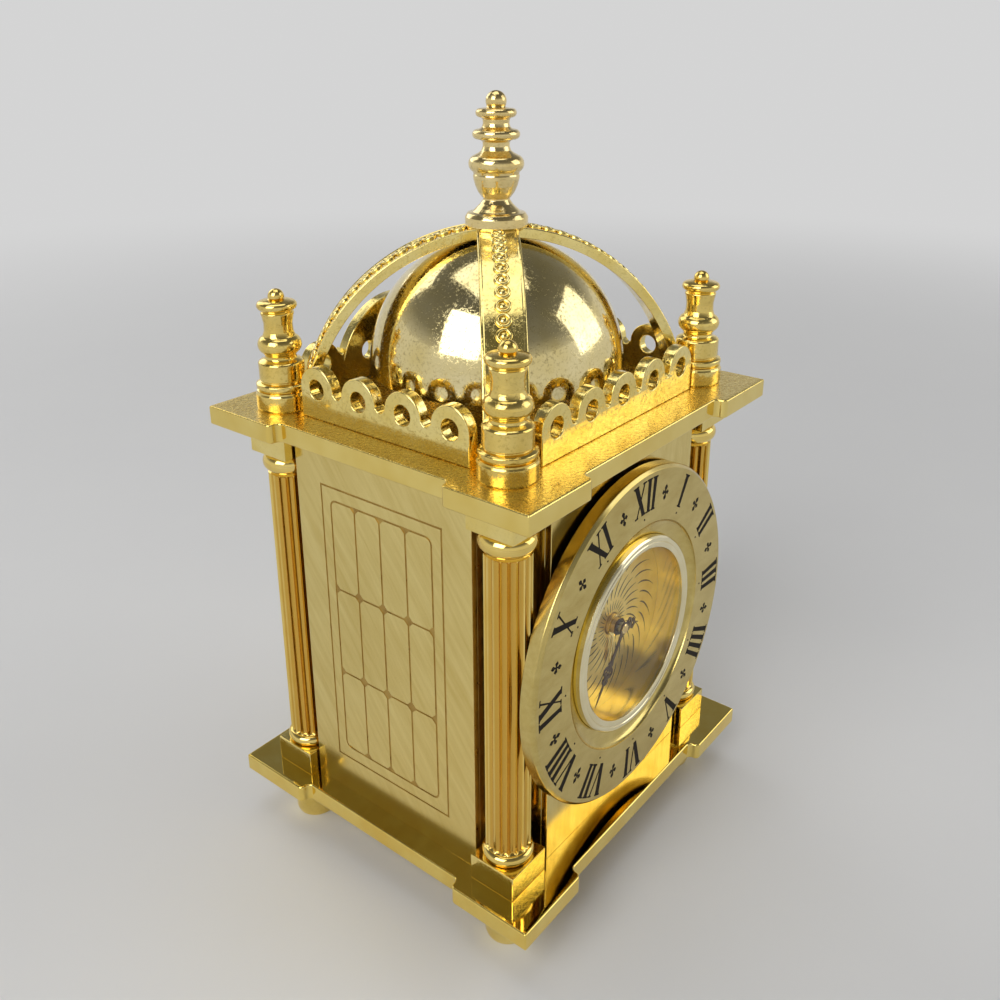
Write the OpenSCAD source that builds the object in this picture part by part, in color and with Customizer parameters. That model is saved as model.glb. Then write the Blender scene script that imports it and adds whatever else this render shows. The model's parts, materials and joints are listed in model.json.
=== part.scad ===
// Miniature lantern clock with a spring-driven alarm movement.
// Origin: centre of the feet's resting plane. +Z up, the dial faces -Y.

/* [Plates] */
// Width of the base plate and the top plate, left to right
plate_w = 73.7; // [71:0.1:80]
// Depth of the base plate and the top plate, front to back
plate_d = 70; // [68:0.1:76]
// Thickness of both plates
plate_t = 3.4; // [2.6:0.1:4.2]
// How far the middle of each plate side steps in from the corner ears
ear_step = 2; // [1:0.1:2.6]
// Distance from the centre to the steps in the front and back edges
ear_x = 21; // [19:0.1:22.5]
// Distance from the centre to the steps in the left and right edges
ear_y = 18.85; // [17:0.1:20]

/* [Columns] */
// Distance of the column axes from the centre, left and right
column_x = 28.4; // [27.9:0.1:30]
// Distance of the column axes from the centre, front and back
column_y = 24.8; // [24.5:0.1:26.5]
// Radius of the round feet
foot_r = 4.05; // [3:0.05:5]
// Height of the round feet
foot_h = 8.8; // [6:0.1:12]
// Width of the square blocks above and below each column
block_w = 9.1; // [8.4:0.1:9.6]
// Height of each square block
block_h = 4.8; // [3:0.1:6]
// Radius of the ring at the foot of a column
base_ring_r = 4.4; // [4:0.05:4.5]
// Height of the ring at the foot of a column
base_ring_h = 2.3; // [1.5:0.1:3]
// Radius of the fluted shaft
shaft_r = 3.85; // [3.4:0.05:4]
// Length of the fluted shaft
shaft_h = 54.5; // [52:0.5:60]
// Number of flutes round a shaft
flute_count = 18; // [12:1:24]
// Radius of one flute
flute_r = 0.5; // [0.3:0.05:0.6]
// Radius of the half-round cushion under the upper block
capital_r = 4.65; // [4.2:0.05:4.9]
// Height of the cushion
capital_h = 4.6; // [3.5:0.1:5.4]
// Radius of the tie rods that run up the columns
tie_rod_r = 1.25; // [0.9:0.05:1.6]

/* [Case] */
// Distance from the centre to the outer face of the front plate and the rear cover
case_y = 28.25; // [27.9:0.05:28.5]
// Distance from the centre to the outer faces of the side panels
case_x = 31; // [30.6:0.1:31.4]
// Half the width of the front plate and the rear cover
front_half = 22.05; // [21.8:0.05:22.6]
// Half the width of the side panels
side_half = 19.8; // [19.5:0.05:20]
// Sheet thickness of the case
sheet_t = 1.2; // [1:0.1:1.4]

/* [Dial] */
// Height of the dial's centre above the base plate
dial_rise = 35.95; // [35:0.05:37]
// Outer radius of the chapter ring
chapter_r = 31; // [30:0.1:32]
// Radius where the flat of the chapter ring ends at the cove
chapter_flat_r = 21; // [20:0.1:22]
// Thickness of the chapter ring
chapter_t = 3.5; // [3.3:0.1:4]
// Depth of the cove inside the chapter ring
cove_depth = 1.5; // [0.8:0.1:2]
// Outer radius of the bezel ring
bezel_r = 18; // [17.5:0.1:18.6]
// Radius of the glass opening in the bezel ring
sight_r = 15.9; // [15.4:0.1:16.2]
// Thickness of the lip that holds the glass
bezel_lip_t = 0.4; // [0.3:0.05:0.5]
// Thickness of the dial glass
glass_t = 0.6; // [0.5:0.05:0.7]
// Depth of the dial disc's face behind the face of the chapter ring
dial_depth = 5.6; // [5.2:0.1:6.4]
// Thickness of the engraved dial disc
dial_t = 0.5; // [0.4:0.05:0.6]

/* [Hands] */
// Length of the minute hand from the centre
minute_hand_l = 14.7; // [12:0.1:15.2]
// Length of the hour hand from the centre
hour_hand_l = 7; // [6:0.1:11]
// Length of the alarm hand from the centre
alarm_hand_l = 8; // [6:0.1:12]
// Thickness of the hands
hand_t = 0.2; // [0.15:0.05:0.25]
// Time shown, in minutes past twelve
shown_minutes = 216; // [0:1:719]
// Direction of the alarm hand, clockwise from twelve
alarm_angle = 188; // [0:1:359]

/* [Crown] */
// Radius of the drum at the foot of a corner finial
drum_r = 4.67; // [4.3:0.05:4.8]
// Height of that drum
drum_h = 3.2; // [2.6:0.1:3.8]
// Radius of the upper drum of a corner finial
upper_drum_r = 3.9; // [3.4:0.05:4.1]
// Radius of the narrow waist of a corner finial
waist_r = 2.65; // [2:0.05:3]
// Radius of the round bulge of a corner finial
bulge_r = 3.75; // [3.2:0.05:4.2]
// Radius of the ring under the tip of a corner finial
tip_ring_r = 3.4; // [2.8:0.05:3.8]
// Radius of the ball at the tip of a corner finial
tip_ball_r = 1.4; // [1.2:0.05:1.7]
// Outer radius of the strap arches
arch_r = 34.8; // [34.3:0.1:35]
// Height of the arches' centre above the top plate's upper face, negative is below it
arch_drop = -4.4; // [-5:0.1:-4]
// Thickness of the straps
strap_t = 1.75; // [1.4:0.05:1.9]
// Width of the straps
strap_w = 7.1; // [6:0.1:7.6]
// Outer radius of the bell
bell_r = 22.6; // [20:0.1:23]
// Wall of the bell
bell_t = 1.2; // [0.8:0.1:1.6]
// Straight part of the bell below the hemisphere
bell_skirt = 0.7; // [0.3:0.1:1]
// Radius of the drum at the foot of the crown finial
crown_drum_r = 5.4; // [5:0.1:6]
// Radius of the bulb of the crown finial
crown_bulb_r = 4.7; // [4:0.1:5.2]
// Radius of the stud that holds the straps and the bell
crown_stud_r = 1.2; // [1:0.05:1.4]

/* [Galleries] */
// Thickness of the pierced galleries
gallery_t = 2.1; // [1.6:0.1:2.4]
// Distance from the centre to the outer face of the front gallery
gallery_y = 26.8; // [26.4:0.1:27.4]
// Distance from the centre to the outer face of a side gallery
gallery_x = 29.75; // [29.4:0.05:30.2]
// Lobes on the front gallery
front_lobes = 5; // [3:1:5]
// Distance between the lobes of the front gallery
front_pitch = 9.45; // [8:0.05:9.5]
// Lobes on a side gallery
side_lobes = 4; // [2:1:4]
// Distance between the lobes of a side gallery
side_pitch = 9.8; // [8:0.05:9.8]
// Height of the hole centres above the top plate
hole_rise = 5.25; // [5:0.05:5.6]
// Radius of a lobe
lobe_r = 3.85; // [3.4:0.05:3.9]
// Radius of the hole in a lobe
hole_r = 1.7; // [1:0.1:2.2]
// Height of the band that joins the lobes
band_h = 2.6; // [1.8:0.1:3.2]
// Half the width of the rear gallery's crest
crest_half = 14; // [12:0.5:15]
// Height of the rear gallery's crest
crest_h = 14.9; // [12:0.1:17]

/* [Movement] */
// Half the width of the movement plates
frame_half_w = 18.5; // [18.2:0.1:19.5]
// Height of the movement plates
frame_h = 62; // [61.5:0.5:66]
// Thickness of the movement plates
frame_t = 1.5; // [1.2:0.1:1.7]
// Distance between the two movement plates
frame_gap = 24.5; // [24.4:0.1:26]
// Outer radius of the mainspring barrels
barrel_r = 9; // [8.6:0.1:9.2]
// Radius of the winding arbors
winding_arbor_r = 1.5; // [1.3:0.05:1.6]
// Radius of the arbors of the wheels
arbor_r = 0.6; // [0.5:0.05:0.65]
// Radius of the pivots that run in the plates
pivot_r = 0.35; // [0.25:0.05:0.4]
// Span of the winding keys' wings
key_span = 14; // [12:0.5:15]
// How far the winding keys and the alarm stop stand out behind the rear cover
tail_l = 6.55; // [5.6:0.05:7.2]
// Radius of the hand-setting knobs
knob_r = 3.4; // [2.6:0.1:3.8]

/* [Fits] */
// Radial clearance of turning fits and rods in holes
run = 0.05; // [0.03:0.01:0.08]
// Air between parts that pass each other
air = 0.3; // [0.2:0.05:0.4]

/* [Hidden] */
$fn = 64;

brass = [0.86, 0.68, 0.36];
pale_brass = [0.84, 0.78, 0.62];
steel = [0.62, 0.63, 0.66];
black = [0.05, 0.05, 0.06];

// Heights from the floor up
base_z = foot_h;
floor_z = base_z + plate_t;
case_h = 2 * block_h + base_ring_h + shaft_h + capital_h;
ceiling_z = floor_z + case_h;
deck_z = ceiling_z + plate_t;
dial_z = floor_z + dial_rise;
corners = [[-1, -1], [1, -1], [-1, 1], [1, 1]];

// Corner finial: heights above the deck
ring_z = drum_h + 0.6;
ring_h = 1.2;
upper_drum_top = ring_z + ring_h + 3.4;
waist_z = upper_drum_top + 1.9;
bulge_z = waist_z + 2.1;
bulge_half_h = 1.7;
neck_z = bulge_z + 3.7;
neck_r = waist_r - 0.05;
tip_ring_z = neck_z + 2.9;
tip_ring_half_h = 0.8;
tip_ball_z = tip_ring_z + tip_ring_half_h + 1.1;
rod_in_finial = 6;
rod_in_foot = foot_h - 2.5;

// Straps and bell
arch_z = deck_z + arch_drop;
arch_in = arch_r - strap_t;
crown_top = arch_z + arch_r;
crown_seat = crown_top - 0.6;
function strap_turn(c) = atan2(c[1] * column_y, c[0] * column_x);
// Distance from the centre at which a strap's foot ends at most, short of the tie rod
strap_stop = norm([column_x, column_y]) - tie_rod_r - 1;
bell_z = arch_z + arch_in - bell_r - 2 * run;
bell_in = bell_r - bell_t;
nut_h = 2;
nut_r = 2.6;
nut_top = bell_z + sqrt(bell_in * bell_in - nut_r * nut_r) - run;

// Crown finial above its seat: drum, cone, cup, bulb, two discs and an egg-shaped knob
crown_drum_h = 2.6;
cup_r = 3.95;
cup_z = crown_drum_h + 6;
crown_neck_r = 2.3;
bulb_z = cup_z + 2;
disc_z = bulb_z + 4.8;
disc_r = 4;
disc_half_h = 0.55;
upper_disc_z = disc_z + 3.4;
upper_disc_r = 3.43;
knob_z = upper_disc_z + 1.7;
knob_tip_r = 1.75;

// Galleries: each side is [turn, distance of the outer face, lobes, pitch]
gallery_sides = [[0, gallery_y, front_lobes, front_pitch], [-90, gallery_x, side_lobes, side_pitch],
    [90, gallery_x, side_lobes, side_pitch], [180, gallery_y, front_lobes, front_pitch]];
gallery_peg_r = 0.7;
gallery_peg_l = 2;

// Bore sizes that pair with rods
rod_hole = tie_rod_r + run;
knob_neck_r = 1;
stop_r = 0.9;
stop_travel = 3;
peg_r = 0.8;
peg_out = 26;
ring_pegs = [for (s = [-1, 1]) [0, dial_z + s * peg_out]];

// Front to back places of the movement
front_in = -case_y + sheet_t;
rear_in = case_y - sheet_t;
ring_face = -case_y - chapter_t;
dial_face = ring_face + dial_depth;
dial_back = dial_face + dial_t;
motion_depth = 5.55;
fp0 = dial_back + motion_depth;
fp1 = fp0 + frame_t;
bp0 = fp1 + frame_gap;
bp1 = bp0 + frame_t;
frame_z = dial_z;

// Dial stack, front to back
glass_y = ring_face + bezel_lip_t;
glass_back = glass_y + glass_t;
bezel_in = sight_r + 0.4;
dial_seat_r = bezel_in + 0.35;
bezel_tube_r = dial_seat_r + 0.55;
hand_step = 1;
alarm_hand_y = dial_face - 0.5 - hand_t;
hour_hand_y = alarm_hand_y - hand_step;
minute_hand_y = hour_hand_y - hand_step;
hand_nut_h = 0.35;

// Pipes round the centre arbor
cannon_bore = arbor_r + run;
cannon_pipe = cannon_bore + 0.35;
hour_bore = cannon_pipe + run;
hour_pipe = hour_bore + 0.4;
alarm_bore = hour_pipe + run;
alarm_pipe = alarm_bore + 0.45;
pipe_hole = alarm_pipe + 0.1;

// Motion work and going train: teeth and modules
cannon_n = 12;
minute_n = 36;
motion_m = 0.45;
minute_pinion_n = 10;
hour_n = 40;
hour_m = motion_m * (cannon_n + minute_n) / (minute_pinion_n + hour_n);
alarm_wheel_n = 48;
alarm_pinion_n = 12;
alarm_m = 0.34;
great_n = 64;
centre_pinion_n = 10;
great_m = 0.4;
centre_n = 64;
third_pinion_n = 8;
centre_m = 0.28;
third_n = 60;
fourth_pinion_n = 8;
third_m = 0.25;
fourth_n = 64;
escape_pinion_n = 8;
fourth_m = 0.22;
alarm_great_n = 60;
alarm_escape_pinion_n = 10;
alarm_great_m = 0.35;
escape_n = 15;
alarm_escape_n = 20;
escape_r = 3.6;
alarm_escape_r = 5;
ratchet_n = 20;
ratchet_r = 5.5;
ratchet_root = 4.6;

// Barrels and the squares on the winding arbors
barrel_pivot_r = 1;
barrel_wall = 0.8;
barrel_hub_r = 2.2;
square_w = winding_arbor_r * 1.4;

function span(m, a, b) = m * (a + b) / 2;
function away(p, d, a) = [p[0] + d * cos(a), p[1] + d * sin(a)];
// Turn of wheel b, so that its gap meets a tooth of wheel a on the line of centres
function meshed(a_turn, na, nb, line) =
    line + 180 - (360 / nb) * (0.5 - (line - a_turn) * na / 360);

// Arbor places in the (x, z) plane
centre_p = [0, dial_z];
time_line = 255;
time_p = away(centre_p, span(great_m, great_n, centre_pinion_n), time_line);
third_line = -20;
third_p = away(centre_p, span(centre_m, centre_n, third_pinion_n), third_line);
fourth_line = -75;
fourth_p = away(third_p, span(third_m, third_n, fourth_pinion_n), fourth_line);
escape_line = -90;
escape_p = away(fourth_p, span(fourth_m, fourth_n, escape_pinion_n), escape_line);
lever_line = 200;
pallet_reach = 5;
lever_l = 7;
pallet_p = away(escape_p, pallet_reach, lever_line);
balance_p = away(pallet_p, lever_l, lever_line);
balance_r = 5.8;
set_line = 180;
set_p = away(centre_p, span(motion_m, cannon_n, minute_n), set_line);
alarm_set_line = 120;
alarm_set_p = away(centre_p, span(alarm_m, alarm_wheel_n, alarm_pinion_n), alarm_set_line);
alarm_offset = [8, 15.6];
alarm_p = centre_p + alarm_offset;
alarm_line = 170;
alarm_escape_p = away(alarm_p, span(alarm_great_m, alarm_great_n, alarm_escape_pinion_n),
    alarm_line);
hammer_rise = 6.9;
hammer_p = alarm_escape_p + [0, hammer_rise];
stop_p = [alarm_escape_p[0] - alarm_escape_r + 0.8, alarm_escape_p[1]];

// Turns that put the train in mesh, worked outward from the centre pinion
centre_turn = 0;
great_turn = meshed(centre_turn, centre_pinion_n, great_n, time_line);
third_turn = meshed(centre_turn, centre_n, third_pinion_n, third_line);
fourth_turn = meshed(third_turn, third_n, fourth_pinion_n, fourth_line);
escape_turn = meshed(fourth_turn, fourth_n, escape_pinion_n, escape_line);
set_turn = meshed(0, cannon_n, minute_n, set_line);
hour_turn = meshed(set_turn, minute_pinion_n, hour_n, set_line + 180);
alarm_set_turn = meshed(0, alarm_wheel_n, alarm_pinion_n, alarm_set_line);
alarm_escape_turn = meshed(0, alarm_great_n, alarm_escape_pinion_n, alarm_line);

// Clicks: places of their pins beside the ratchets
click_pin_r = 0.5;
click_pivot = [ratchet_r + 0.8, -5.6];
time_click_turn = 0;
alarm_click_turn = 180;
function turned(p, a) = [p[0] * cos(a) - p[1] * sin(a), p[0] * sin(a) + p[1] * cos(a)];
time_click_p = time_p + turned(click_pivot, time_click_turn);
alarm_click_p = alarm_p + turned(click_pivot, alarm_click_turn);

// Front to back places of the wheels, counted from the movement front plate
great_y0 = bp0 - 11.8;
great_t = 1.1;
drum_y1 = bp0 - 1.9;
centre_y0 = fp1 + 6.6;
wheel_t = 0.9;
third_y0 = fp1 + 2.8;
fourth_y0 = fp1 + 8.8;
escape_y0 = fp1 + 5;
balance_y0 = fp1 + 2.4;
bridge_y0 = fp1 + 9.8;
bridge_t = 0.9;
hairspring_y0 = fp1 + 6.8;
alarm_escape_y0 = great_y0 - 3.2;
hammer_y = alarm_escape_y0 + wheel_t / 2;
ratchet_y0 = bp1 + air;
ratchet_t = 1;
knob_y0 = case_y + 1.4;
knob_t = 4;
tail_y = case_y + tail_l;

// Bell hammer: head inside the bell, rod through a slot in the top plate
hammer_head_r = 1.9;
hammer_gap = 1.5;
hammer_swing = 4;
hammer_head_z = bell_z + 4.3;
hammer_reach = sqrt(bell_in * bell_in - pow(hammer_head_z - bell_z, 2)) - hammer_head_r
    - hammer_gap;
hammer_head_x = -sqrt(hammer_reach * hammer_reach - hammer_y * hammer_y);
hammer_rod_r = 0.7;

// Pillars stand behind the chapter ring
pillar_x = 16.5;
pillar_dz = 25.2;
pillar_r = 1.6;
stud_r = 0.9;
screw_r = 0.8;
screw_head_r = 1.5;
screw_head_t = 0.8;
pillar_spots = [for (c = corners) [c[0] * pillar_x, dial_z + c[1] * pillar_dz]];

// Points of a circular arc
function arc(c, r, a0, a1, n = 6) =
    [for (i = [0:n]) let(a = a0 + (a1 - a0) * i / n) [c[0] + r * cos(a), c[1] + r * sin(a)]];
function flipped(pts, sx, sy) = [for (i = [len(pts) - 1:-1:0]) [sx * pts[i][0], sy * pts[i][1]]];

// One solid of a 2D shape drawn in (x, z), between two depths
module along_y(y0, y1) {
    translate([0, y1, 0]) rotate([90, 0, 0]) linear_extrude(y1 - y0) children();
}

module rod_y(p, r, y0, y1) {
    translate([p[0], y1, p[1]]) rotate([90, 0, 0]) cylinder(r = r, h = y1 - y0);
}

module at_corners() {
    for (c = corners) translate([c[0] * column_x, c[1] * column_y, 0]) children();
}

// Spur gear outline: straight-flanked teeth with play at the pitch line
function tooth_ring(n, m, turn) =
    let(tip = n * m / 2 + 0.9 * m, root = n * m / 2 - 1.2 * m,
        wide = n < 16 ? 0.2 : 0.25, narrow = n < 16 ? 0.1 : 0.1)
    [for (i = [0:n - 1], s = [[-wide, root], [-narrow, tip], [narrow, tip], [wide, root]])
        let(a = turn + (i + s[0]) * 360 / n) [s[1] * cos(a), s[1] * sin(a)]];

module gear2d(n, m, turn) {
    polygon(tooth_ring(n, m, turn));
}

// Wheel with round windows between the hub and the rim
module wheel(p, n, m, turn, y0, t, bore, hub_r, rim = 1.3) {
    rim_in = n * m / 2 - 1.2 * m - rim;
    window_r = 0.42 * (rim_in - hub_r);
    translate([p[0], 0, p[1]]) along_y(y0, y0 + t) difference() {
        gear2d(n, m, turn);
        circle(r = bore);
        for (a = [0:72:288]) rotate(a + turn) translate([(rim_in + hub_r) / 2, 0])
            circle(r = window_r);
    }
}

module pinion(p, n, m, turn, y0, y1, bore) {
    translate([p[0], 0, p[1]]) along_y(y0, y1) difference() {
        gear2d(n, m, turn);
        circle(r = bore);
    }
}

// Arbor between the movement plates with a pivot at each end
module train_arbor(p) {
    rod_y(p, arbor_r, fp1 + 0.1, bp0 - 0.1);
    rod_y(p, pivot_r, fp0 + 0.1, bp1 - 0.1);
}

module plate_outline() {
    r = ear_step / 2;
    x1 = plate_w / 2 - ear_step;
    y1 = plate_d / 2 - ear_step;
    quarter = concat(
        arc([x1 + r, ear_y - r], r, 180, 90), arc([x1 + r, ear_y + r], r, -90, 0),
        [[plate_w / 2, plate_d / 2]],
        arc([ear_x + r, y1 + r], r, 90, 180), arc([ear_x - r, y1 + r], r, 0, -90));
    polygon(concat(quarter, flipped(quarter, -1, 1), [for (p = quarter) -p],
        flipped(quarter, 1, -1)));
}

module base_plate() {
    color(brass) difference() {
        translate([0, 0, base_z]) linear_extrude(plate_t) plate_outline();
        at_corners() translate([0, 0, base_z - 1]) cylinder(r = rod_hole, h = plate_t + 2);
    }
}

module feet() {
    color(brass) at_corners() difference() {
        cylinder(r = foot_r, h = foot_h);
        translate([0, 0, foot_h - rod_in_foot]) cylinder(r = rod_hole, h = foot_h);
    }
}

module column_blocks() {
    color(brass) at_corners() for (z = [floor_z, ceiling_z - block_h])
        translate([0, 0, z]) difference() {
            translate([-block_w / 2, -block_w / 2, 0]) cube([block_w, block_w, block_h]);
            translate([0, 0, -1]) cylinder(r = rod_hole, h = block_h + 2);
        }
}

// Base ring, fluted shaft and cushion, turned in one piece and bored for the tie rod
module column(cx, cy) {
    z0 = floor_z + block_h;
    z1 = z0 + base_ring_h;
    z2 = z1 + shaft_h;
    ring_bulge = base_ring_h / 2;
    color(brass) translate([cx * column_x, cy * column_y, 0]) difference() {
        union() {
            translate([0, 0, z0]) rotate_extrude() polygon(concat([[0, 0]],
                arc([base_ring_r - ring_bulge, ring_bulge], ring_bulge, -90, 90, 8),
                [[0, base_ring_h]]));
            translate([0, 0, z1]) linear_extrude(shaft_h) difference() {
                circle(r = shaft_r);
                for (i = [0:flute_count - 1]) rotate(i * 360 / flute_count)
                    translate([shaft_r + flute_r * 0.2, 0]) circle(r = flute_r);
            }
            translate([0, 0, z2]) rotate_extrude() polygon(concat([[0, 0]],
                arc([capital_r - capital_h / 2, capital_h / 2], capital_h / 2, -90, 90, 10),
                [[0, capital_h]]));
        }
        translate([0, 0, z0 - 1]) cylinder(r = rod_hole, h = z2 - z0 + capital_h + 2);
    }
}

module tie_rods() {
    low = foot_h - rod_in_foot + air;
    color(steel) at_corners() translate([0, 0, low])
        cylinder(r = tie_rod_r, h = deck_z + rod_in_finial - air - low);
}

// Plan of a case pan: a face sheet with a return flange at each end
module pan_plan(half, face, depth) {
    translate([-half, -face]) square([2 * half, sheet_t]);
    for (s = [-1, 1]) translate([s * (half - sheet_t / 2) - sheet_t / 2, -face])
        square([sheet_t, depth]);
}

module front_pan() {
    translate([0, 0, floor_z]) linear_extrude(case_h)
        pan_plan(front_half, case_y, case_y - side_half);
}

module front_plate() {
    color(brass) difference() {
        front_pan();
        rod_y(centre_p, bezel_tube_r + run, -case_y - 1, front_in + 1);
        for (p = pillar_spots) {
            rod_y(p, screw_r + run, -case_y - 1, front_in + 1);
            rod_y(p, screw_head_r + run, -case_y - 1, -case_y + screw_head_t);
        }
        for (p = ring_pegs) rod_y(p, peg_r + run, -case_y - 1, front_in + 1);
    }
}

// The side pans reach in behind the flanges of the front plate and the rear cover
module side_panel(side) {
    flange = case_x - front_half + sheet_t;
    color(brass) translate([0, 0, floor_z]) rotate(side * 90) linear_extrude(case_h)
        pan_plan(side_half, case_x, flange);
}

module rear_cover() {
    color(brass) difference() {
        rotate(180) front_pan();
        for (p = [time_p, alarm_p]) rod_y(p, winding_arbor_r + air, rear_in - 1, case_y + 1);
        for (p = [set_p, alarm_set_p]) rod_y(p, knob_neck_r + run, rear_in - 1, case_y + 1);
        rod_y(stop_p, stop_r + run, rear_in - 1, case_y + 1);
        for (p = pillar_spots) rod_y(p, screw_r + run, rear_in - 1, case_y + 1);
    }
}

module top_plate() {
    rod_x0 = hammer_x(ceiling_z);
    rod_x1 = hammer_x(deck_z);
    slack = 1.3;
    slot_x0 = rod_x1 - slack - (deck_z - hammer_p[1]) * sin(hammer_swing);
    slot_w = rod_x0 + slack - slot_x0;
    color(brass) difference() {
        translate([0, 0, ceiling_z]) linear_extrude(plate_t) plate_outline();
        at_corners() translate([0, 0, ceiling_z - 1]) cylinder(r = rod_hole, h = plate_t + 2);
        translate([slot_x0, hammer_y - slack, ceiling_z - 1]) cube([slot_w, 2 * slack, plate_t + 2]);
        for (s = gallery_sides) gallery_pegs(s, gallery_peg_r + run, gallery_peg_l + run);
    }
}

// Height profile of a corner finial above the deck
function finial_profile() = concat(
    [[0, 0], [drum_r, 0], [drum_r, drum_h], [drum_r - 0.55, ring_z - 0.2]],
    arc([drum_r - 0.8, ring_z + ring_h / 2], ring_h / 2, -90, 90, 6),
    [[upper_drum_r - 0.3, ring_z + ring_h + 0.1], [upper_drum_r, ring_z + ring_h + 0.3],
        [upper_drum_r, upper_drum_top], [upper_drum_r - 0.5, upper_drum_top + 0.2],
        [waist_r, waist_z - 0.3], [waist_r, waist_z + 0.2]],
    arc([bulge_r - bulge_half_h, bulge_z], bulge_half_h, -70, 80, 8),
    [[neck_r + 0.3, bulge_z + bulge_half_h + 0.6], [neck_r, neck_z], [neck_r + 0.2, neck_z + 1.3]],
    arc([tip_ring_r - tip_ring_half_h, tip_ring_z], tip_ring_half_h, -70, 70, 6),
    arc([0, tip_ball_z], tip_ball_r, -50, 90, 8));

module corner_finials() {
    color(brass) for (c = corners) difference() {
        translate([c[0] * column_x, c[1] * column_y, deck_z]) {
            difference() {
                rotate_extrude() polygon(finial_profile());
                translate([0, 0, -1]) cylinder(r = rod_hole, h = rod_in_finial + 1);
            }
        }
        // Notch in which the foot of the strap stands
        strap_space(c, run);
    }
}

// All that lies under a strap's outer face, with a gap round it
module strap_space(c, gap) {
    rotate(strap_turn(c)) intersection() {
        translate([0, 0, arch_z]) rotate([90, 0, 0])
            cylinder(r = arch_r + gap, h = strap_w + 2 * gap, center = true);
        translate([0, -strap_w, arch_z]) cube([strap_stop + gap, 2 * strap_w, 2 * arch_r]);
    }
}

// Quarter of the crossed strap arch, trimmed at the crown to meet its neighbours
module strap(c) {
    intersection() {
        difference() {
            strap_space(c, 0);
            translate([0, 0, arch_z]) rotate(strap_turn(c)) rotate([90, 0, 0])
                cylinder(r = arch_in, h = strap_w + 2, center = true);
        }
        translate([c[0] > 0 ? 0 : -arch_r, c[1] > 0 ? 0 : -arch_r, deck_z])
            cube([arch_r, arch_r, arch_r]);
    }
}

module crown_straps() {
    color(brass) difference() {
        union() for (c = corners) strap(c);
        translate([0, 0, crown_seat]) cylinder(r = crown_drum_r + run, h = strap_t);
        translate([0, 0, arch_z]) cylinder(r = crown_stud_r + run, h = arch_r + 1);
    }
}

module bell() {
    color(pale_brass) translate([0, 0, bell_z]) difference() {
        rotate_extrude() {
            intersection() {
                difference() {
                    circle(r = bell_r, $fn = 128);
                    circle(r = bell_in, $fn = 128);
                }
                square([bell_r, bell_r]);
            }
            translate([bell_in, -bell_skirt]) square([bell_t, bell_skirt]);
        }
        cylinder(r = crown_stud_r + run, h = bell_r + 1);
    }
}

module bell_nut() {
    color(brass) translate([0, 0, nut_top - nut_h]) difference() {
        cylinder(r = nut_r, h = nut_h, $fn = 6);
        translate([0, 0, -1]) cylinder(r = crown_stud_r + run, h = nut_h + 2);
    }
}

function crown_profile() = concat(
    [[0, 0], [crown_drum_r - 0.4, 0], [crown_drum_r, 0.4], [crown_drum_r, crown_drum_h],
        [crown_neck_r + 1.6, crown_drum_h + 0.4], [crown_neck_r, crown_drum_h + 2.3],
        [crown_neck_r + 0.3, crown_drum_h + 2.7]],
    arc([crown_neck_r, cup_z], cup_r - crown_neck_r, -60, 0, 5),
    arc([crown_bulb_r - 2.1, bulb_z], 2.1, -45, 75, 8),
    [[crown_neck_r, disc_z - 1.8], [crown_neck_r + 0.2, disc_z - 1.1]],
    arc([disc_r - disc_half_h, disc_z], disc_half_h, -80, 80, 6),
    [[crown_neck_r, disc_z + 1.4], [crown_neck_r, disc_z + 2]],
    arc([upper_disc_r - disc_half_h, upper_disc_z], disc_half_h, -80, 80, 6),
    [[knob_tip_r - 0.25, upper_disc_z + 0.8]],
    [for (i = [0:6]) let(a = i * 15) [knob_tip_r * cos(a), knob_z + knob_tip_r * 1.1 * sin(a)]]);

module crown_finial() {
    stud_low = nut_top - nut_h - 1;
    color(brass) {
        translate([0, 0, crown_seat]) rotate_extrude() polygon(crown_profile());
        translate([0, 0, stud_low]) cylinder(r = crown_stud_r, h = crown_seat + 1 - stud_low);
    }
}

module gallery_pegs(s, r, l) {
    reach = (s[2] - 1) / 2 * s[3];
    rotate(s[0]) for (x = [-reach, reach]) translate([x, -s[1] + gallery_t / 2, deck_z - l])
        cylinder(r = r, h = l + 0.5);
}

module lobed_outline(lobes, pitch) {
    half = (lobes - 1) / 2 * pitch + lobe_r;
    difference() {
        union() {
            translate([-half, 0]) square([2 * half, band_h]);
            for (i = [0:lobes - 1]) lobe((i - (lobes - 1) / 2) * pitch);
        }
        for (i = [0:lobes - 1]) translate([(i - (lobes - 1) / 2) * pitch, hole_rise])
            circle(r = hole_r);
    }
}

module lobe(x) {
    translate([x, hole_rise]) circle(r = lobe_r);
    translate([x - lobe_r * 0.8, 0]) square([lobe_r * 1.6, hole_rise]);
}

module gallery(s) {
    color(brass) {
        rotate(s[0]) translate([0, 0, deck_z]) along_y(-s[1], -s[1] + gallery_t)
            lobed_outline(s[2], s[3]);
        gallery_pegs(s, gallery_peg_r, gallery_peg_l);
    }
}

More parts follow.
